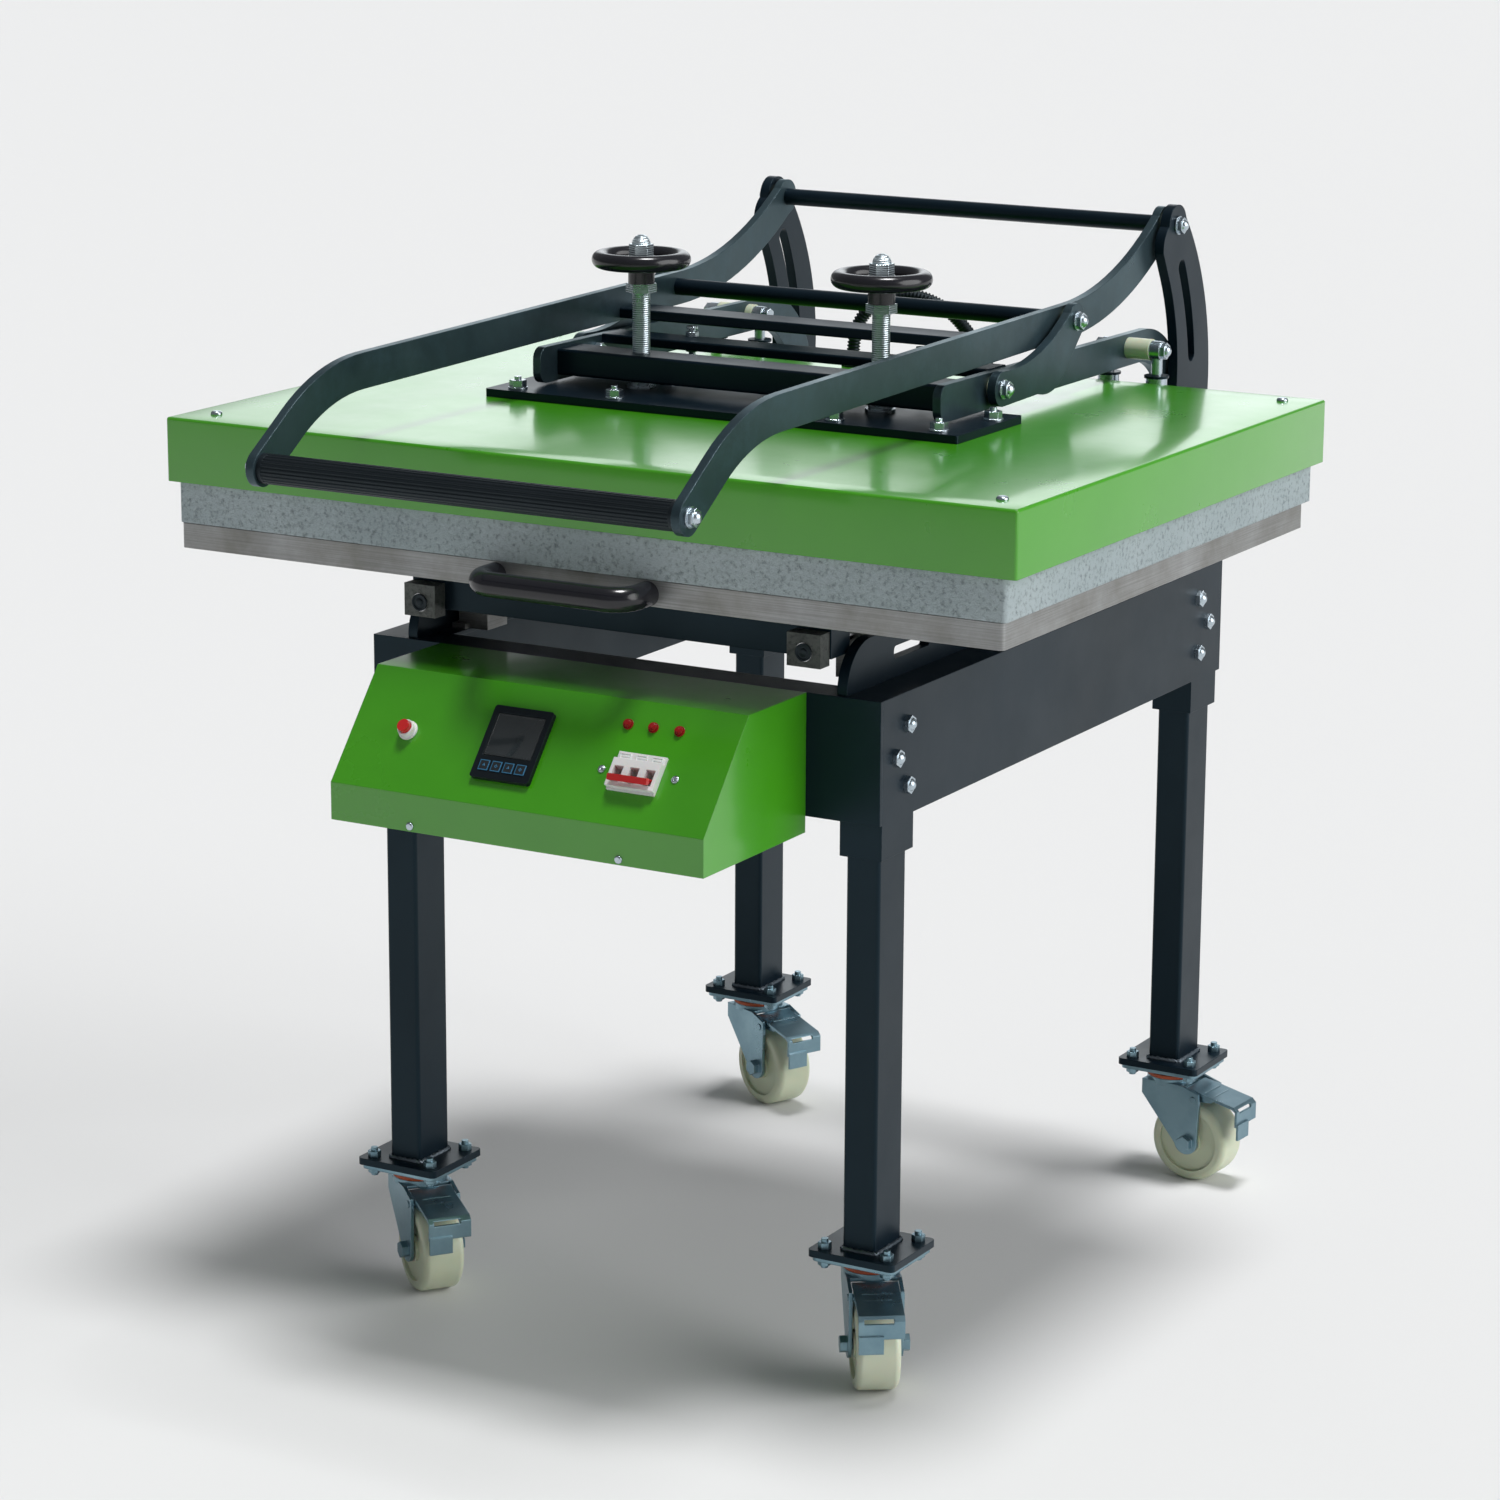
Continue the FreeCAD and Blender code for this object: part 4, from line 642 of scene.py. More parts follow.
# ================================================================ sub-assemblies
@dataclass
class Assembly:
    """A group of pieces that are built together and then dressed."""

    made: dict[str, bpy.types.Object] = field(default_factory=dict, init=False)

    def build(self) -> None:
        """Model the pieces."""

    def dress(self) -> None:
        """Give the pieces their finishes and bodies."""

    def keep(self, piece: bpy.types.Object, angle: float = 35.0) -> bpy.types.Object:
        """Smooth a modelled piece and count it among the group's own.

        Args:
            piece: The piece.
            angle: Edges sharper than this stay sharp, in degrees.

        Returns:
            The same piece.
        """
        self.made[piece.name] = Bench.smooth(piece, angle)
        return piece

    def wear(self, piece: bpy.types.Object, body: str, slot: str, *finishes: Finish) -> None:
        """Put finishes on a piece and let it ride on a body.

        Args:
            piece: The piece.
            body: The body it moves with.
            slot: The record's material slot that it belongs to; not used.
            finishes: Its finishes, the one that covers most of it first.
        """
        for finish in finishes:
            piece.data.materials.append(finish.material())
        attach(piece, body)
        log.info("made %s", piece.name)


@dataclass
class PackedParts(Assembly):
    """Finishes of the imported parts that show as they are."""

    finishes: dict[str, Finish] = field(default_factory=lambda: {
        "right_rail": BLACK, "left_rail": BLACK, "front_beam": BLACK, "rear_beam": BLACK,
        "right_side_plate": BLACK, "left_side_plate": BLACK, "legs": BLACK, "frame_bolts": ZINC,
        "linear_bearings": MILLED, "cable_glands": SATIN_PLASTIC, "castor_plates": CASTOR_ZINC,
        "control_box": GREEN, "temperature_controller": SATIN_PLASTIC, "panel_fittings": LAMP_RED,
        "breaker_body": WHITE_PLASTIC, "start_button": RED_PLASTIC, "breaker_toggle": RED_PLASTIC,
        "right_lever": LEVER_STEEL, "left_lever": LEVER_STEEL, "lever_cross_bars": BLACK,
        "handle_grip": SATIN_PLASTIC, "lever_bolts": ZINC, "lever_washers": NYLON,
        "toggle_links": LEVER_STEEL, "link_bolts": ZINC, "right_swing_arm": LEVER_STEEL,
        "left_swing_arm": LEVER_STEEL, "arm_cross_bars": BLACK, "pressure_plate": BLACK,
        "head_fasteners": ZINC, "heater_cover": GREEN, "insulation_board": BOARD,
        "heated_platen": CAST, "nylon_spacers": NYLON, "rear_hangers": ZINC,
        "hanger_brackets": BLACK, "head_gland": SATIN_PLASTIC, "conduit": SATIN_PLASTIC,
        "lower_table": MILLED, "silicone_pad": SILICONE, "table_carriage": BLACK,
        # The rod end blocks take the aluminium darkened as painted shade.
        "slide_rods": GROUND, "rod_end_blocks": SHADE_DARKENED_BLOCK, "pull_handle": GLOSS_PLASTIC,
        "left_handwheel": GLOSS_PLASTIC, "right_handwheel": GLOSS_PLASTIC,
        "left_spindle": ZINC_THREAD, "right_spindle": ZINC_THREAD,
    })
    castor_finishes: dict[str, Finish] = field(default_factory=lambda: {
        "fork": CASTOR_ZINC, "pedal": CASTOR_ZINC, "wheel": NYLON,
    })

    def build(self) -> None:
        """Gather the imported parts, whose meshes stay as they are."""
        for node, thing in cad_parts.items():
            self.made[node] = thing if isinstance(thing, bpy.types.Object) else bpy.data.objects[node]

    def dress(self) -> None:
        """Put each finish on its part."""
        chosen = dict(self.finishes)
        for corner in CORNERS:
            for part, finish in self.castor_finishes.items():
                chosen[f"{corner}_{part}"] = finish
        for node, piece in self.made.items():
            material = chosen[node].material()
            piece.data.materials.clear()
            piece.data.materials.append(material)
            log.info("dressed %s", node)


@dataclass
class HeaterCover(Assembly):
    """Folded sheet cover over the heater, with rolled edges and a little waviness in its top."""

    sheet: float = 0.002
    roll: float = 0.0032
    lip: float = 0.018
    swell: float = 0.0006
    cuts: int = 24
    near: float = 0.001
    """How close to a side of the block an edge lies that belongs to it."""

    def build(self) -> None:
        """Fold the cover from a block, open below."""
        low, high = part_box("heater_cover")
        skin = Bench.block("cover_skin", low, high)
        up = Vector((0, 0, 1))
        Bench.pick(skin, Bench.facing(-up))
        bpy.ops.mesh.inset(thickness=self.lip, depth=0)
        bpy.ops.mesh.delete(type="FACE")
        bpy.ops.object.mode_set(mode="OBJECT")
        floor = low.z + self.near
        side = high.x - self.near
        Bench.pick_edges(skin, lambda a, b: not (a.z < floor and b.z < floor)
                         and (abs(a.x) > side and abs(b.x) > side or a.z > floor and b.z > floor))
        bpy.ops.mesh.bevel(offset=self.roll, segments=4, affect="EDGES")
        Bench.pick(skin, Bench.facing(up, high.z - self.near / 2))
        bpy.ops.mesh.subdivide(number_cuts=self.cuts)
        bpy.ops.object.mode_set(mode="OBJECT")
        self._wave(skin, low, high)
        Bench.modify(skin, "SOLIDIFY", thickness=self.sheet, offset=-1.0)
        self.keep(skin, 40.0)

    def _wave(self, skin: bpy.types.Object, low: Vector, high: Vector) -> None:
        """Let the top sheet sink a little between its folded edges.

        Args:
            skin: The cover.
            low: The cover's lowest corner.
            high: The cover's highest corner.
        """
        for vertex in skin.data.vertices:
            if vertex.co.z > high.z - 0.0003:
                u = (vertex.co.x - low.x) / (high.x - low.x)
                v = (vertex.co.y - low.y) / (high.y - low.y)
                edge = math.sin(math.pi * max(0.0, min(1.0, u))) * math.sin(math.pi * max(0.0, min(1.0, v)))
                ripple = 0.6 + 0.4 * math.sin(9.0 * u + 2.0) * math.cos(7.0 * v)
                vertex.co.z -= self.swell * edge * ripple

    def dress(self) -> None:
        """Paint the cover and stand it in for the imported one."""
        skin = self.made["cover_skin"]
        self.wear(skin, "head", "green_paint", GREEN)
        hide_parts("heater_cover")


@dataclass
class ControlPanel(Assembly):
    """Lamps, button collar, screws, display and keys on the sloping panel of the control box.

    All sizes are in millimetres. A place on the panel is its distance to the right and down from the
    top edge. Steps are pairs of inset and rise.
    """

    top: tuple[float, float] = (-551.0, 763.0)
    foot: tuple[float, float] = (-642.0, 652.0)

    lamps: tuple[float, ...] = (97.0, 127.5, 159.0)
    lamp_down: float = 29.0
    lamp_radius: float = 6.0
    lamp_flange: float = 1.6
    lamp_steps: Steps = ((0.9, -0.5), (0.3, 3.2), (0.8, 1.0), (1.0, 0.7), (1.2, 0.2))

    button: tuple[float, float] = (-160.0, 72.0)
    collar_radius: float = 11.0
    collar_height: float = 2.4
    collar_steps: Steps = ((1.6, 6.2), (1.4, 0.0), (0.65, -8.0))

    screws: tuple[tuple[float, float], ...] = ((85.4, 83.0), (173.8, 83.0))
    screw_radius: float = 4.2
    screw_height: float = 1.2
    screw_steps: Steps = ((0.7, 0.6), (0.9, 0.3), (1.0, -0.7))

    controller: tuple[float, float, float, float] = (-63.0, 9.5, 30.0, 115.0)
    """Left, right, upper and lower edge of the controller."""
    pane_margins: tuple[float, float, float] = (7.0, 9.0, 27.0)
    """Bezel beside, over and under the display pane."""
    pane_span: tuple[float, float] = (5.05, 5.7)
    pane_steps: Steps = ((1.2, 0.0), (0.2, -0.3))

    keys: int = 4
    key_pitch: float = 15.0
    key_inset: float = 8.0
    key_down: tuple[float, float] = (20.3, 8.7)
    """Distance of a key's upper and lower edge over the controller's lower edge."""
    key_size: float = 11.0
    key_border: float = 0.3
    key_span: tuple[float, float] = (6.0, 7.1)
    key_steps: Steps = ((0.8, 0.0),)
    mark_radius: float = 2.1
    mark_height: float = 1.5
    mark_foot: float = 5.85
    mark_steps: Steps = ((0.5, 0.0), (0.2, -0.3))

    breaker: tuple[float, float, float, float] = (100.0, 157.5, 61.0, 105.0)
    poles: int = 3
    pole_half: float = 6.5
    pole_down: tuple[float, float] = (2.0, 9.0)
    pole_span: tuple[float, float] = (2.8, 4.4)
    pole_steps: Steps = ((1.2, -0.6), (1.0, 0.3))

    def _lean(self) -> float:
        """Give the panel's turn about X, from lying flat."""
        return math.atan2(self.top[1] - self.foot[1], self.top[0] - self.foot[0])

    def _out(self) -> Vector:
        """Give the panel's outward direction."""
        return Vector((0, -math.sin(self._lean()), math.cos(self._lean())))

    def _at(self, x: float, down: float, out: float) -> Vector:
        """Find a place on the panel.

        Args:
            x: Distance to the right.
            down: Distance down from the top edge.
            out: Distance out of the face.

        Returns:
            The point in the row frame, in metres.
        """
        lean = self._lean()
        y = self.top[0] - math.cos(lean) * down - math.sin(lean) * out
        z = self.top[1] - math.sin(lean) * down + math.cos(lean) * out
        return at_legs(x, y, z)

    def _stand(self, name: str, x: float, down: float, radius: float, height: float,
               sides: int = 40) -> bpy.types.Object:
        """Stand a round piece on the panel.

        Args:
            name: The piece's name.
            x: Distance to the right.
            down: Distance down from the top edge.
            radius: Its radius.
            height: How far it stands out.
            sides: Faces around it.

        Returns:
            The piece.
        """
        middle = self._at(x, down, height / 2)
        return Bench.drum(name, radius / 1000, height / 1000, middle, self._lean(), sides)

    def _plate(self, name: str, across: tuple[float, float], down: tuple[float, float],
               out: tuple[float, float]) -> bpy.types.Object:
        """Lay a flat block on the panel.

        Args:
            name: The piece's name.
            across: Its left and right edge.
            down: Its upper and lower edge.
            out: How far its back and its front lie out of the face.

        Returns:
            The piece.
        """
        middle = self._at(sum(across) / 2, sum(down) / 2, sum(out) / 2)
        half = Vector((across[1] - across[0], down[1] - down[0], out[1] - out[0])) / 2000
        return Bench.block(name, middle - half, middle + half, self._lean())

    def _repeat(self, first: bpy.types.Object, name: str, shifts: tuple[float, ...],
                angle: float = 35.0) -> None:
        """Keep a piece as number 1, and copies of it to the right as the next numbers.

        Args:
            first: The modelled piece.
            name: The start of the copies' names.
            shifts: How far each copy stands to the right of the first.
            angle: Edges sharper than this stay sharp, in degrees.
        """
        self.keep(first, angle)
        for number, shift in enumerate(shifts, start=2):
            copy = Bench.twin(first, f"{name}_{number}", (shift, 0, 0))
            self.made[copy.name] = copy

    def build(self) -> None:
        """Build every fitting."""
        self._build_lamps()
        self._build_collar()
        self._build_screws()
        self._build_display()
        self._build_keys()
        self._build_marks()
        self._build_terminal_covers()

    def _build_lamps(self) -> None:
        """Model a pilot lamp, a flange with a faceted dome, and copy it twice."""
        first = self.lamps[0]
        lamp = self._stand("pilot_lamp_1", first, self.lamp_down, self.lamp_radius, self.lamp_flange, 12)
        Bench.crown(lamp, self._out(), self.lamp_steps)
        Bench.ease(lamp, 0.0002)
        self._repeat(lamp, "pilot_lamp", tuple(x - first for x in self.lamps[1:]), 20.0)

    def _build_collar(self) -> None:
        """Model the collar round the start button."""
        collar = self._stand("button_collar", *self.button, self.collar_radius, self.collar_height, 56)
        Bench.crown(collar, self._out(), self.collar_steps)
        Bench.ease(collar, 0.0004, 3)
        self.keep(collar)

    def _build_screws(self) -> None:
        """Model a pan screw with a recess beside the breaker, and copy it to the other side."""
        (x, down), (other, _) = self.screws
        screw = self._stand("panel_screw_1", x, down, self.screw_radius, self.screw_height, 32)
        Bench.crown(screw, self._out(), self.screw_steps)
        Bench.ease(screw, 0.00015)
        self._repeat(screw, "panel_screw", (other - x,))

    def _build_display(self) -> None:
        """Model the controller's display pane, in a stepped frame."""
        left, right, upper, lower = self.controller
        beside, over, under = self.pane_margins
        pane = self._plate("display_pane", (left + beside, right - beside), (upper + over, lower - under),
                           self.pane_span)
        Bench.crown(pane, self._out(), self.pane_steps)
        Bench.ease(pane, 0.0001)
        self.keep(pane)

    def _build_keys(self) -> None:
        """Model a key with a raised outline, and copy it along the row."""
        left = self.controller[0] + self.key_inset
        lower = self.controller[3]
        across = (left - self.key_border, left + self.key_size + self.key_border)
        key = self._plate("controller_key_1", across, (lower - self.key_down[0], lower - self.key_down[1]),
                          self.key_span)
        Bench.crown(key, self._out(), self.key_steps)
        self._repeat(key, "controller_key", tuple(self.key_pitch * n for n in range(1, self.keys)))

    def _build_marks(self) -> None:
        """Model a three-sided and a four-sided mark, and copy each to the next key but one."""
        down = self.controller[3] - sum(self.key_down) / 2
        for number in (1, 2):
            x = self.controller[0] + self.key_inset + self.key_size / 2 + self.key_pitch * (number - 1)
            middle = self._at(x, down, self.mark_foot + self.mark_height / 2)
            mark = Bench.drum(f"key_mark_{number}", self.mark_radius / 1000, self.mark_height / 1000, middle,
                              self._lean(), number + 2)
            Bench.crown(mark, self._out(), self.mark_steps)
            self.keep(mark)
            copy = Bench.twin(mark, f"key_mark_{number + 2}", (self.key_pitch * 2, 0, 0))
            self.made[copy.name] = copy

    def _build_terminal_covers(self) -> None:
        """Model the terminal cover of one pole on the breaker's upper ledge, and copy it to the others."""
        left, right, upper, _ = self.breaker
        pitch = (right - left) / self.poles
        middle = left + pitch / 2
        cover = self._plate("terminal_cover_1", (middle - self.pole_half, middle + self.pole_half),
                            (upper + self.pole_down[0], upper + self.pole_down[1]), self.pole_span)
        Bench.crown(cover, self._out(), self.pole_steps)
        Bench.ease(cover, 0.0002)
        self._repeat(cover, "terminal_cover", tuple(pitch * n for n in range(1, self.poles)))

    def dress(self) -> None:
        """Give each fitting its finish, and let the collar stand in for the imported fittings."""
        looks = {
            "pilot_lamp": ("lamp_red", (LAMP_RED,)), "button_collar": ("white_plastic", (WHITE_PLASTIC,)),
            "panel_screw": ("zinc", (ZINC,)), "display_pane": ("black_plastic", (DISPLAY,)),
            "controller_key": ("black_plastic", (KEY_BLUE, KEY_FACE)),
            "key_mark": ("black_plastic", (KEY_BLUE,)), "terminal_cover": ("white_plastic", (WHITE_PLASTIC,)),
        }
        for name, piece in self.made.items():
            slot, finishes = looks[name.rstrip("_1234")]
            self.wear(piece, "base", slot, *finishes)
            if name.startswith("controller_key"):
                self._face(piece)
        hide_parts("panel_fittings")

    def _face(self, key: bpy.types.Object) -> None:
        """Give the inner face of a key its second finish.

        Args:
            key: The key.
        """
        out = self._out()
        top = max(vertex.co.dot(out) for vertex in key.data.vertices)
        outer = (face for face in key.data.polygons if face.center.dot(out) > top - 1e-5)
        max(outer, key=lambda face: face.area).material_index = 1


@dataclass
class Hose(Assembly):
    """Corrugated conduit from the head to the stand."""

    radius: float = 0.0079
    groove: float = 0.0015
    pitch: float = 0.0040
    sides: int = 20
    bend_start: Point = (70.0, 236.0, 1046.0)
    bend_end: Point = (105.0, 407.0, 790.0)
    route: tuple[Point, ...] = (
        (-50.0, 180.0, 1013.0), (-50.0, 180.0, 1044.0), (-33.0, 185.0, 1073.0), (-4.0, 193.0, 1089.0),
        (28.0, 203.0, 1089.0), (56.0, 220.0, 1072.0), (74.0, 240.0, 1042.0), (84.0, 268.0, 1002.0),
        (92.0, 295.0, 950.0), (97.0, 325.0, 901.0), (101.0, 362.0, 857.0), (104.0, 397.0, 824.0),
        (105.0, 407.0, 801.0), (105.0, 407.0, 776.0),
    )
    path: list[Vector] = field(default_factory=list, init=False)
    length: float = field(default=0.0, init=False)

    def _line(self) -> bpy.types.Object:
        """Draw the conduit's smooth centre line.

        Returns:
            A curve object.
        """
        curve = bpy.data.curves.new("hose_line", "CURVE")
        curve.dimensions = "3D"
        spline = curve.splines.new("NURBS")
        spline.points.add(len(self.route) - 1)
        for point, place in zip(spline.points, self.route):
            point.co = (*at_legs(*place), 1.0)
        spline.order_u = 3
        spline.use_endpoint_u = True
        spline.resolution_u = 12
        curve.resolution_u = 12
        line = bpy.data.objects.new("hose_line", curve)
        bpy.context.scene.collection.objects.link(line)
        return line

    def build(self) -> None:
        """Model one rib and repeat it along the line."""
        line = self._line()
        flat = bpy.data.meshes.new_from_object(line)
        self.path = [vertex.co.copy() for vertex in flat.vertices]
        bpy.data.meshes.remove(flat)
        self.length = sum((b - a).length for a, b in zip(self.path, self.path[1:]))
        count = round(self.length / self.pitch)
        hose = self._rib(self.length / count / 4)
        Bench.modify(hose, "ARRAY", count=count, relative_offset_displace=(1, 0, 0),
                     use_merge_vertices=True, merge_threshold=0.0001)
        Bench.modify(hose, "CURVE", object=line, deform_axis="POS_X")
        bpy.data.objects.remove(line)
        Bench.take(hose)
        bpy.ops.object.mode_set(mode="EDIT")
        bpy.ops.mesh.select_mode(type="EDGE")
        bpy.ops.mesh.select_non_manifold()
        bpy.ops.mesh.edge_face_add()
        bpy.ops.object.mode_set(mode="OBJECT")
        self.keep(hose, 60.0)

    def _rib(self, step: float) -> bpy.types.Object:
        """Model one rib of the hose, from groove to groove along X.

        Args:
            step: A quarter of the rib's length.

        Returns:
            The rib.
        """
        Bench.clear()
        bpy.ops.mesh.primitive_circle_add(vertices=self.sides, radius=self.radius - self.groove,
                                          rotation=(0, math.pi / 2, 0))
        rib = bpy.context.active_object
        rib.name = "conduit_hose"
        bpy.ops.object.transform_apply(location=True, rotation=True, scale=True)
        bpy.ops.object.mode_set(mode="EDIT")
        bpy.ops.mesh.select_mode(type="VERT")
        bpy.ops.mesh.select_all(action="SELECT")
        wide = self.radius / (self.radius - self.groove)
        for grow in (wide, 1.0, 1 / wide, 1.0):
            bpy.ops.mesh.extrude_region_move(TRANSFORM_OT_translate={"value": (step, 0, 0)})
            bpy.ops.transform.resize(value=(1, grow, grow), center_override=(0, 0, 0))
        bpy.ops.object.mode_set(mode="OBJECT")
        return rib

    def dress(self) -> None:
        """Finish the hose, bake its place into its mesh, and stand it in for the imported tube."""
        hose = self.made["conduit_hose"]
        hose.data.materials.append(SATIN_PLASTIC.material())
        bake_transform(hose)
        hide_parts("conduit")
        log.info("made %s, %.3f m", hose.name, self.length)


@dataclass
class RodEndShadeDiscs(Assembly):
    """Black discs over the front ends of the two slide rods, painted shade standing in for the dark hollow at
    each rod end, with sizes in millimetres.
    """

    spread: float = 240.0
    front: float = -455.0
    height: float = 812.0
    radius: float = 9.6
    thick: float = 1.4
    steps: Steps = ((2.2, -0.9), (3.5, 0.7))

    def build(self) -> None:
        """Model one painted shade disc with a dished face and copy it to the other rod."""
        middle = at_legs(self.spread, self.front - self.thick / 2, self.height)
        shade_disc = Bench.drum("right_rod_shade_disc", self.radius / 1000, self.thick / 1000, middle, math.pi / 2)
        Bench.crown(shade_disc, Vector((0, -1, 0)), self.steps)
        Bench.ease(shade_disc, 0.0003)
        self.keep(shade_disc)
        twin = Bench.twin(shade_disc, "left_rod_shade_disc", (-2 * self.spread, 0, 0))
        self.made[twin.name] = twin

    def dress(self) -> None:
        """Give both painted shade discs their finish."""
        for shade_disc in self.made.values():
            self.wear(shade_disc, "table", "black_plastic", SATIN_PLASTIC)


@dataclass
class CastorTrim(Assembly):
    """Dust rings of the castors and weld beads round the legs' feet, with sizes in millimetres."""

    leg_x: float = 294.0
    leg_y: float = 390.0
    half_wide: float = 20.0
    half_deep: float = 30.0
    foot_top: float = 150.0
    ring_radius: float = 31.5
    ring_bore: float = 28.2
    ring_low: float = 126.0
    ring_high: float = 130.5
    bead_radius: float = 2.6
    bead_offset: float = 0.8
    bead_lift: float = 0.6
    bead_cuts: int = 14

    def build(self) -> None:
        """Model the trim under the front left leg and copy it to the others."""
        self._build_ring()
        self._build_bead()
        ring = self.made["front_left_dust_ring"]
        bead = self.made["front_left_weld"]
        for corner in CORNERS[1:]:
            shift = (2 * self.leg_x if "right" in corner else 0, 2 * self.leg_y if "rear" in corner else 0, 0)
            for first, part in ((ring, "dust_ring"), (bead, "weld")):
                copy = Bench.twin(first, f"{corner}_{part}", shift)
                self.made[copy.name] = copy
        for name, piece in self.made.items():
            if name.endswith("weld"):
                self._ripple(piece)
                Bench.smooth(piece, 50.0)

    def _build_ring(self) -> None:
        """Model a seal round the fixed ring of the swivel."""
        height = self.ring_high - self.ring_low
        middle = at_legs(-self.leg_x, -self.leg_y, self.ring_low + height / 2)
        ring = Bench.drum("front_left_dust_ring", self.ring_radius / 1000, height / 1000, middle, sides=64)
        Bench.pick(ring, lambda face: abs(face.normal.z) > 0.9)
        bpy.ops.mesh.inset(thickness=(self.ring_radius - self.ring_bore) / 1000, depth=0)
        bpy.ops.mesh.bridge_edge_loops()
        bpy.ops.object.mode_set(mode="OBJECT")
        Bench.ease(ring, 0.0008, 3)
        self.keep(ring)

    def _build_bead(self) -> None:
        """Model a plain bead round the foot of a leg."""
        Bench.clear()
        bpy.ops.mesh.primitive_plane_add(
            size=1, location=at_legs(-self.leg_x, -self.leg_y, self.foot_top + self.bead_lift))
        loop = bpy.context.active_object
        loop.scale = ((self.half_wide + self.bead_offset) / 500, (self.half_deep + self.bead_offset) / 500, 1)
        bpy.ops.object.transform_apply(location=True, rotation=True, scale=True)
        bpy.ops.object.mode_set(mode="EDIT")
        bpy.ops.mesh.select_mode(type="VERT")
        bpy.ops.mesh.select_all(action="SELECT")
        bpy.ops.mesh.bevel(offset=0.004, segments=4, affect="VERTICES")
        bpy.ops.mesh.delete(type="ONLY_FACE")
        bpy.ops.mesh.select_all(action="SELECT")
        bpy.ops.mesh.subdivide(number_cuts=self.bead_cuts)
        bpy.ops.object.mode_set(mode="OBJECT")
        bpy.ops.object.convert(target="CURVE")
        loop = bpy.context.active_object
        loop.data.bevel_depth = self.bead_radius / 1000
        loop.data.bevel_resolution = 3
        bpy.ops.object.convert(target="MESH")
        bead = bpy.context.active_object
        bead.name = "front_left_weld"
        self.made[bead.name] = bead

    def _ripple(self, bead: bpy.types.Object) -> None:
        """Raise and sink a bead along its run, as a weld pool sets.

        Args:
            bead: The bead.
        """
        for vertex in bead.data.vertices:
            along = vertex.co.x * 900 + vertex.co.y * 1150
            vertex.co.z += 0.0007 * math.sin(along) + 0.0003 * math.sin(along * 2.7 + 1.0)

    def dress(self) -> None:
        """Give the rings and the beads their finishes."""
        for name, piece in self.made.items():
            if name.endswith("weld"):
                self.wear(piece, "base", "zinc", WELD)
            else:
                self.wear(piece, "base", "red_plastic", DUST_RING)


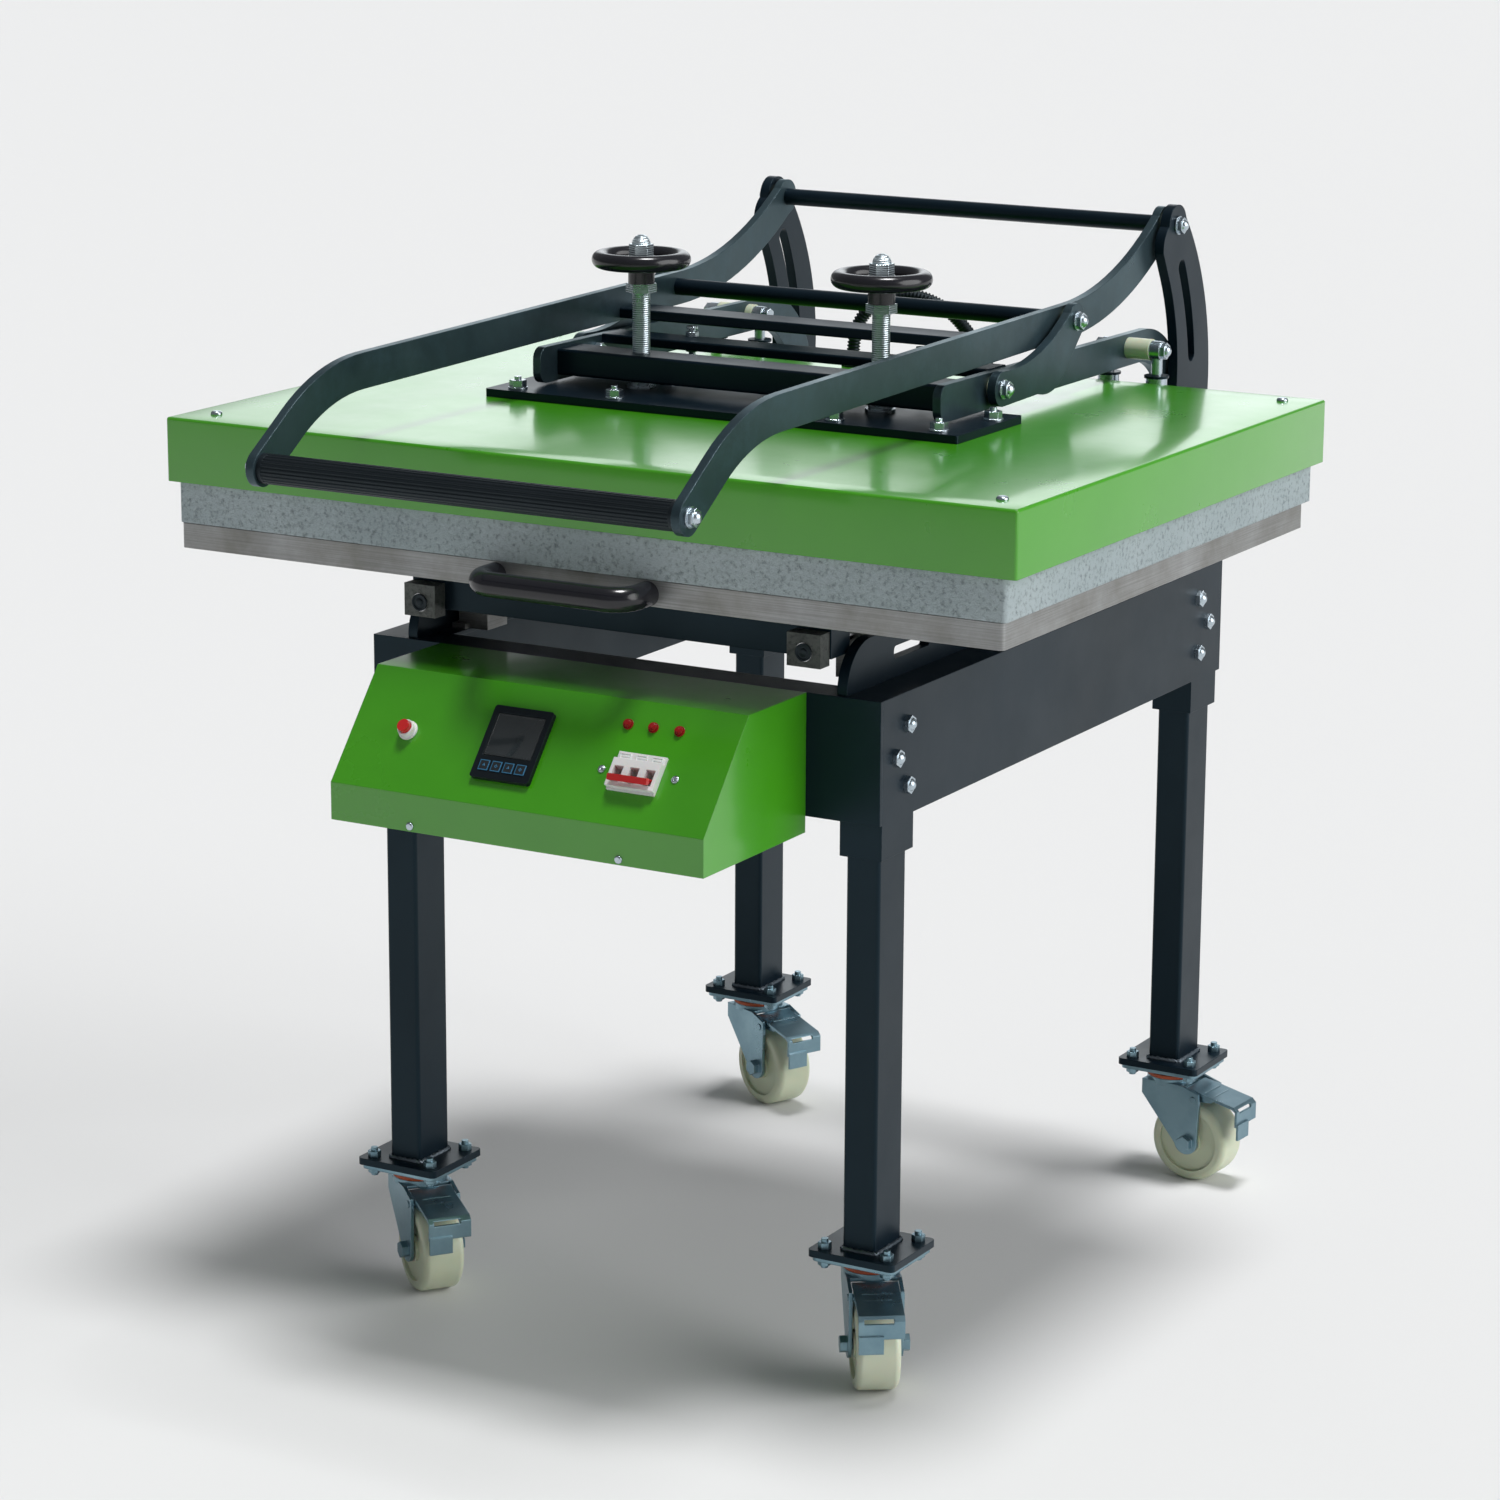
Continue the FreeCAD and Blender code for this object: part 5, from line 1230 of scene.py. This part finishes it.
@dataclass
class Studio(Assembly):
    """Floor, light and camera."""

    floor_size: float = 400.0
    floor_colour: Colour = (0.735, 0.735, 0.735)
    top_sun: Sun = Sun("top_light", (-3.0, 6.0, 0.0), 2.30, 15.0)
    side_sun: Sun = Sun("side_light", (0.0, 70.0, 10.0), 2.3, 55.0)
    sky_colour: Colour = (0.93, 0.97, 1.0)
    bank_ahead: Point = (-0.40, 0.88, 0.25)
    """Direction of the middle of the bright bank."""
    bank_edge: tuple[float, float] = (0.93, 0.999)
    bank_strength: tuple[float, float] = (0.17, 1.75)
    eye: Point = (2430.2, -4381.8, 1823.1)
    yaw: float = 29.8
    pitch: float = -13.9
    roll: float = 0.3
    lens: float = 106.4
    shift: tuple[float, float] = (-0.0026, -0.0021)
    reach: float = 500.0

    def build(self) -> None:
        """Lay the floor and set up the lights and the camera."""
        Bench.clear()
        bpy.ops.mesh.primitive_plane_add(size=self.floor_size, location=(0, 0, 0))
        floor = bpy.context.active_object
        floor.name = "studio_floor"
        self.made[floor.name] = floor
        self._sky()
        self._shine(self.top_sun)
        self._shine(self.side_sun)
        self._camera()
        bpy.context.scene.view_settings.view_transform = "Standard"

    def dress(self) -> None:
        """Make the floor pale and dull."""
        floor = self.made["studio_floor"]
        graph = Graph("studio_floor")
        graph.shader.inputs["Base Color"].default_value = (*self.floor_colour, 1)
        graph.shader.inputs["Roughness"].default_value = 0.9
        graph.shader.inputs["Specular IOR Level"].default_value = 0.1
        floor.data.materials.append(graph.material)
        log.info("laid the floor")

    def _sky(self) -> None:
        """Add a pale sky, brighter in a soft bank behind the press for the paint to reflect."""
        world = bpy.data.worlds.new("studio_sky")
        bpy.context.scene.world = world
        world.use_nodes = True
        tree = world.node_tree
        sky = tree.nodes["Background"]
        direction = tree.nodes.new("ShaderNodeTexCoord").outputs["Generated"]
        toward = tree.nodes.new("ShaderNodeVectorMath")
        toward.operation = "DOT_PRODUCT"
        tree.links.new(direction, toward.inputs[0])
        toward.inputs[1].default_value = Vector(self.bank_ahead).normalized()
        bank = tree.nodes.new("ShaderNodeMapRange")
        bank.interpolation_type = "SMOOTHSTEP"
        tree.links.new(toward.outputs["Value"], bank.inputs["Value"])
        ends = zip(("From Min", "From Max", "To Min", "To Max"), (*self.bank_edge, *self.bank_strength))
        for key, number in ends:
            bank.inputs[key].default_value = number
        sky.inputs["Color"].default_value = (*self.sky_colour, 1)
        tree.links.new(bank.outputs["Result"], sky.inputs["Strength"])

    def _shine(self, sun: Sun) -> None:
        """Add a broad sun.

        Args:
            sun: Its name, turn, strength and size.
        """
        light = bpy.data.lights.new(sun.name, "SUN")
        light.energy = sun.strength
        light.angle = math.radians(sun.size)
        lamp = bpy.data.objects.new(sun.name, light)
        lamp.rotation_euler = [math.radians(angle) for angle in sun.turn]
        bpy.context.scene.collection.objects.link(lamp)

    def _camera(self) -> None:
        """Place the camera."""
        yaw, pitch, roll = (math.radians(angle) for angle in (self.yaw, self.pitch, self.roll))
        ahead = Vector((-math.sin(yaw) * math.cos(pitch), math.cos(yaw) * math.cos(pitch), math.sin(pitch)))
        right = Vector((math.cos(yaw), math.sin(yaw), 0))
        up = right.cross(ahead)
        side = right * math.cos(roll) + up * math.sin(roll)
        head = up * math.cos(roll) - right * math.sin(roll)
        turn = Matrix((side, head, -ahead)).transposed().to_4x4()
        data = bpy.data.cameras.new("camera")
        data.lens = self.lens
        data.shift_x, data.shift_y = self.shift
        data.clip_end = self.reach
        camera = bpy.data.objects.new("camera", data)
        camera.matrix_world = Matrix.Translation(at_legs(*self.eye)) @ turn
        bpy.context.scene.collection.objects.link(camera)
        bpy.context.scene.camera = camera


def main() -> None:
    """Build and dress each sub-assembly in order."""
    logging.basicConfig(level=logging.INFO, format="%(name)s: %(message)s")
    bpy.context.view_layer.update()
    for kind in (PackedParts, HeaterCover, ControlPanel, Hose, RodEndShadeDiscs, CastorTrim, Studio):
        assembly = kind()
        assembly.build()
        assembly.dress()


if __name__ == "__main__":
    main()
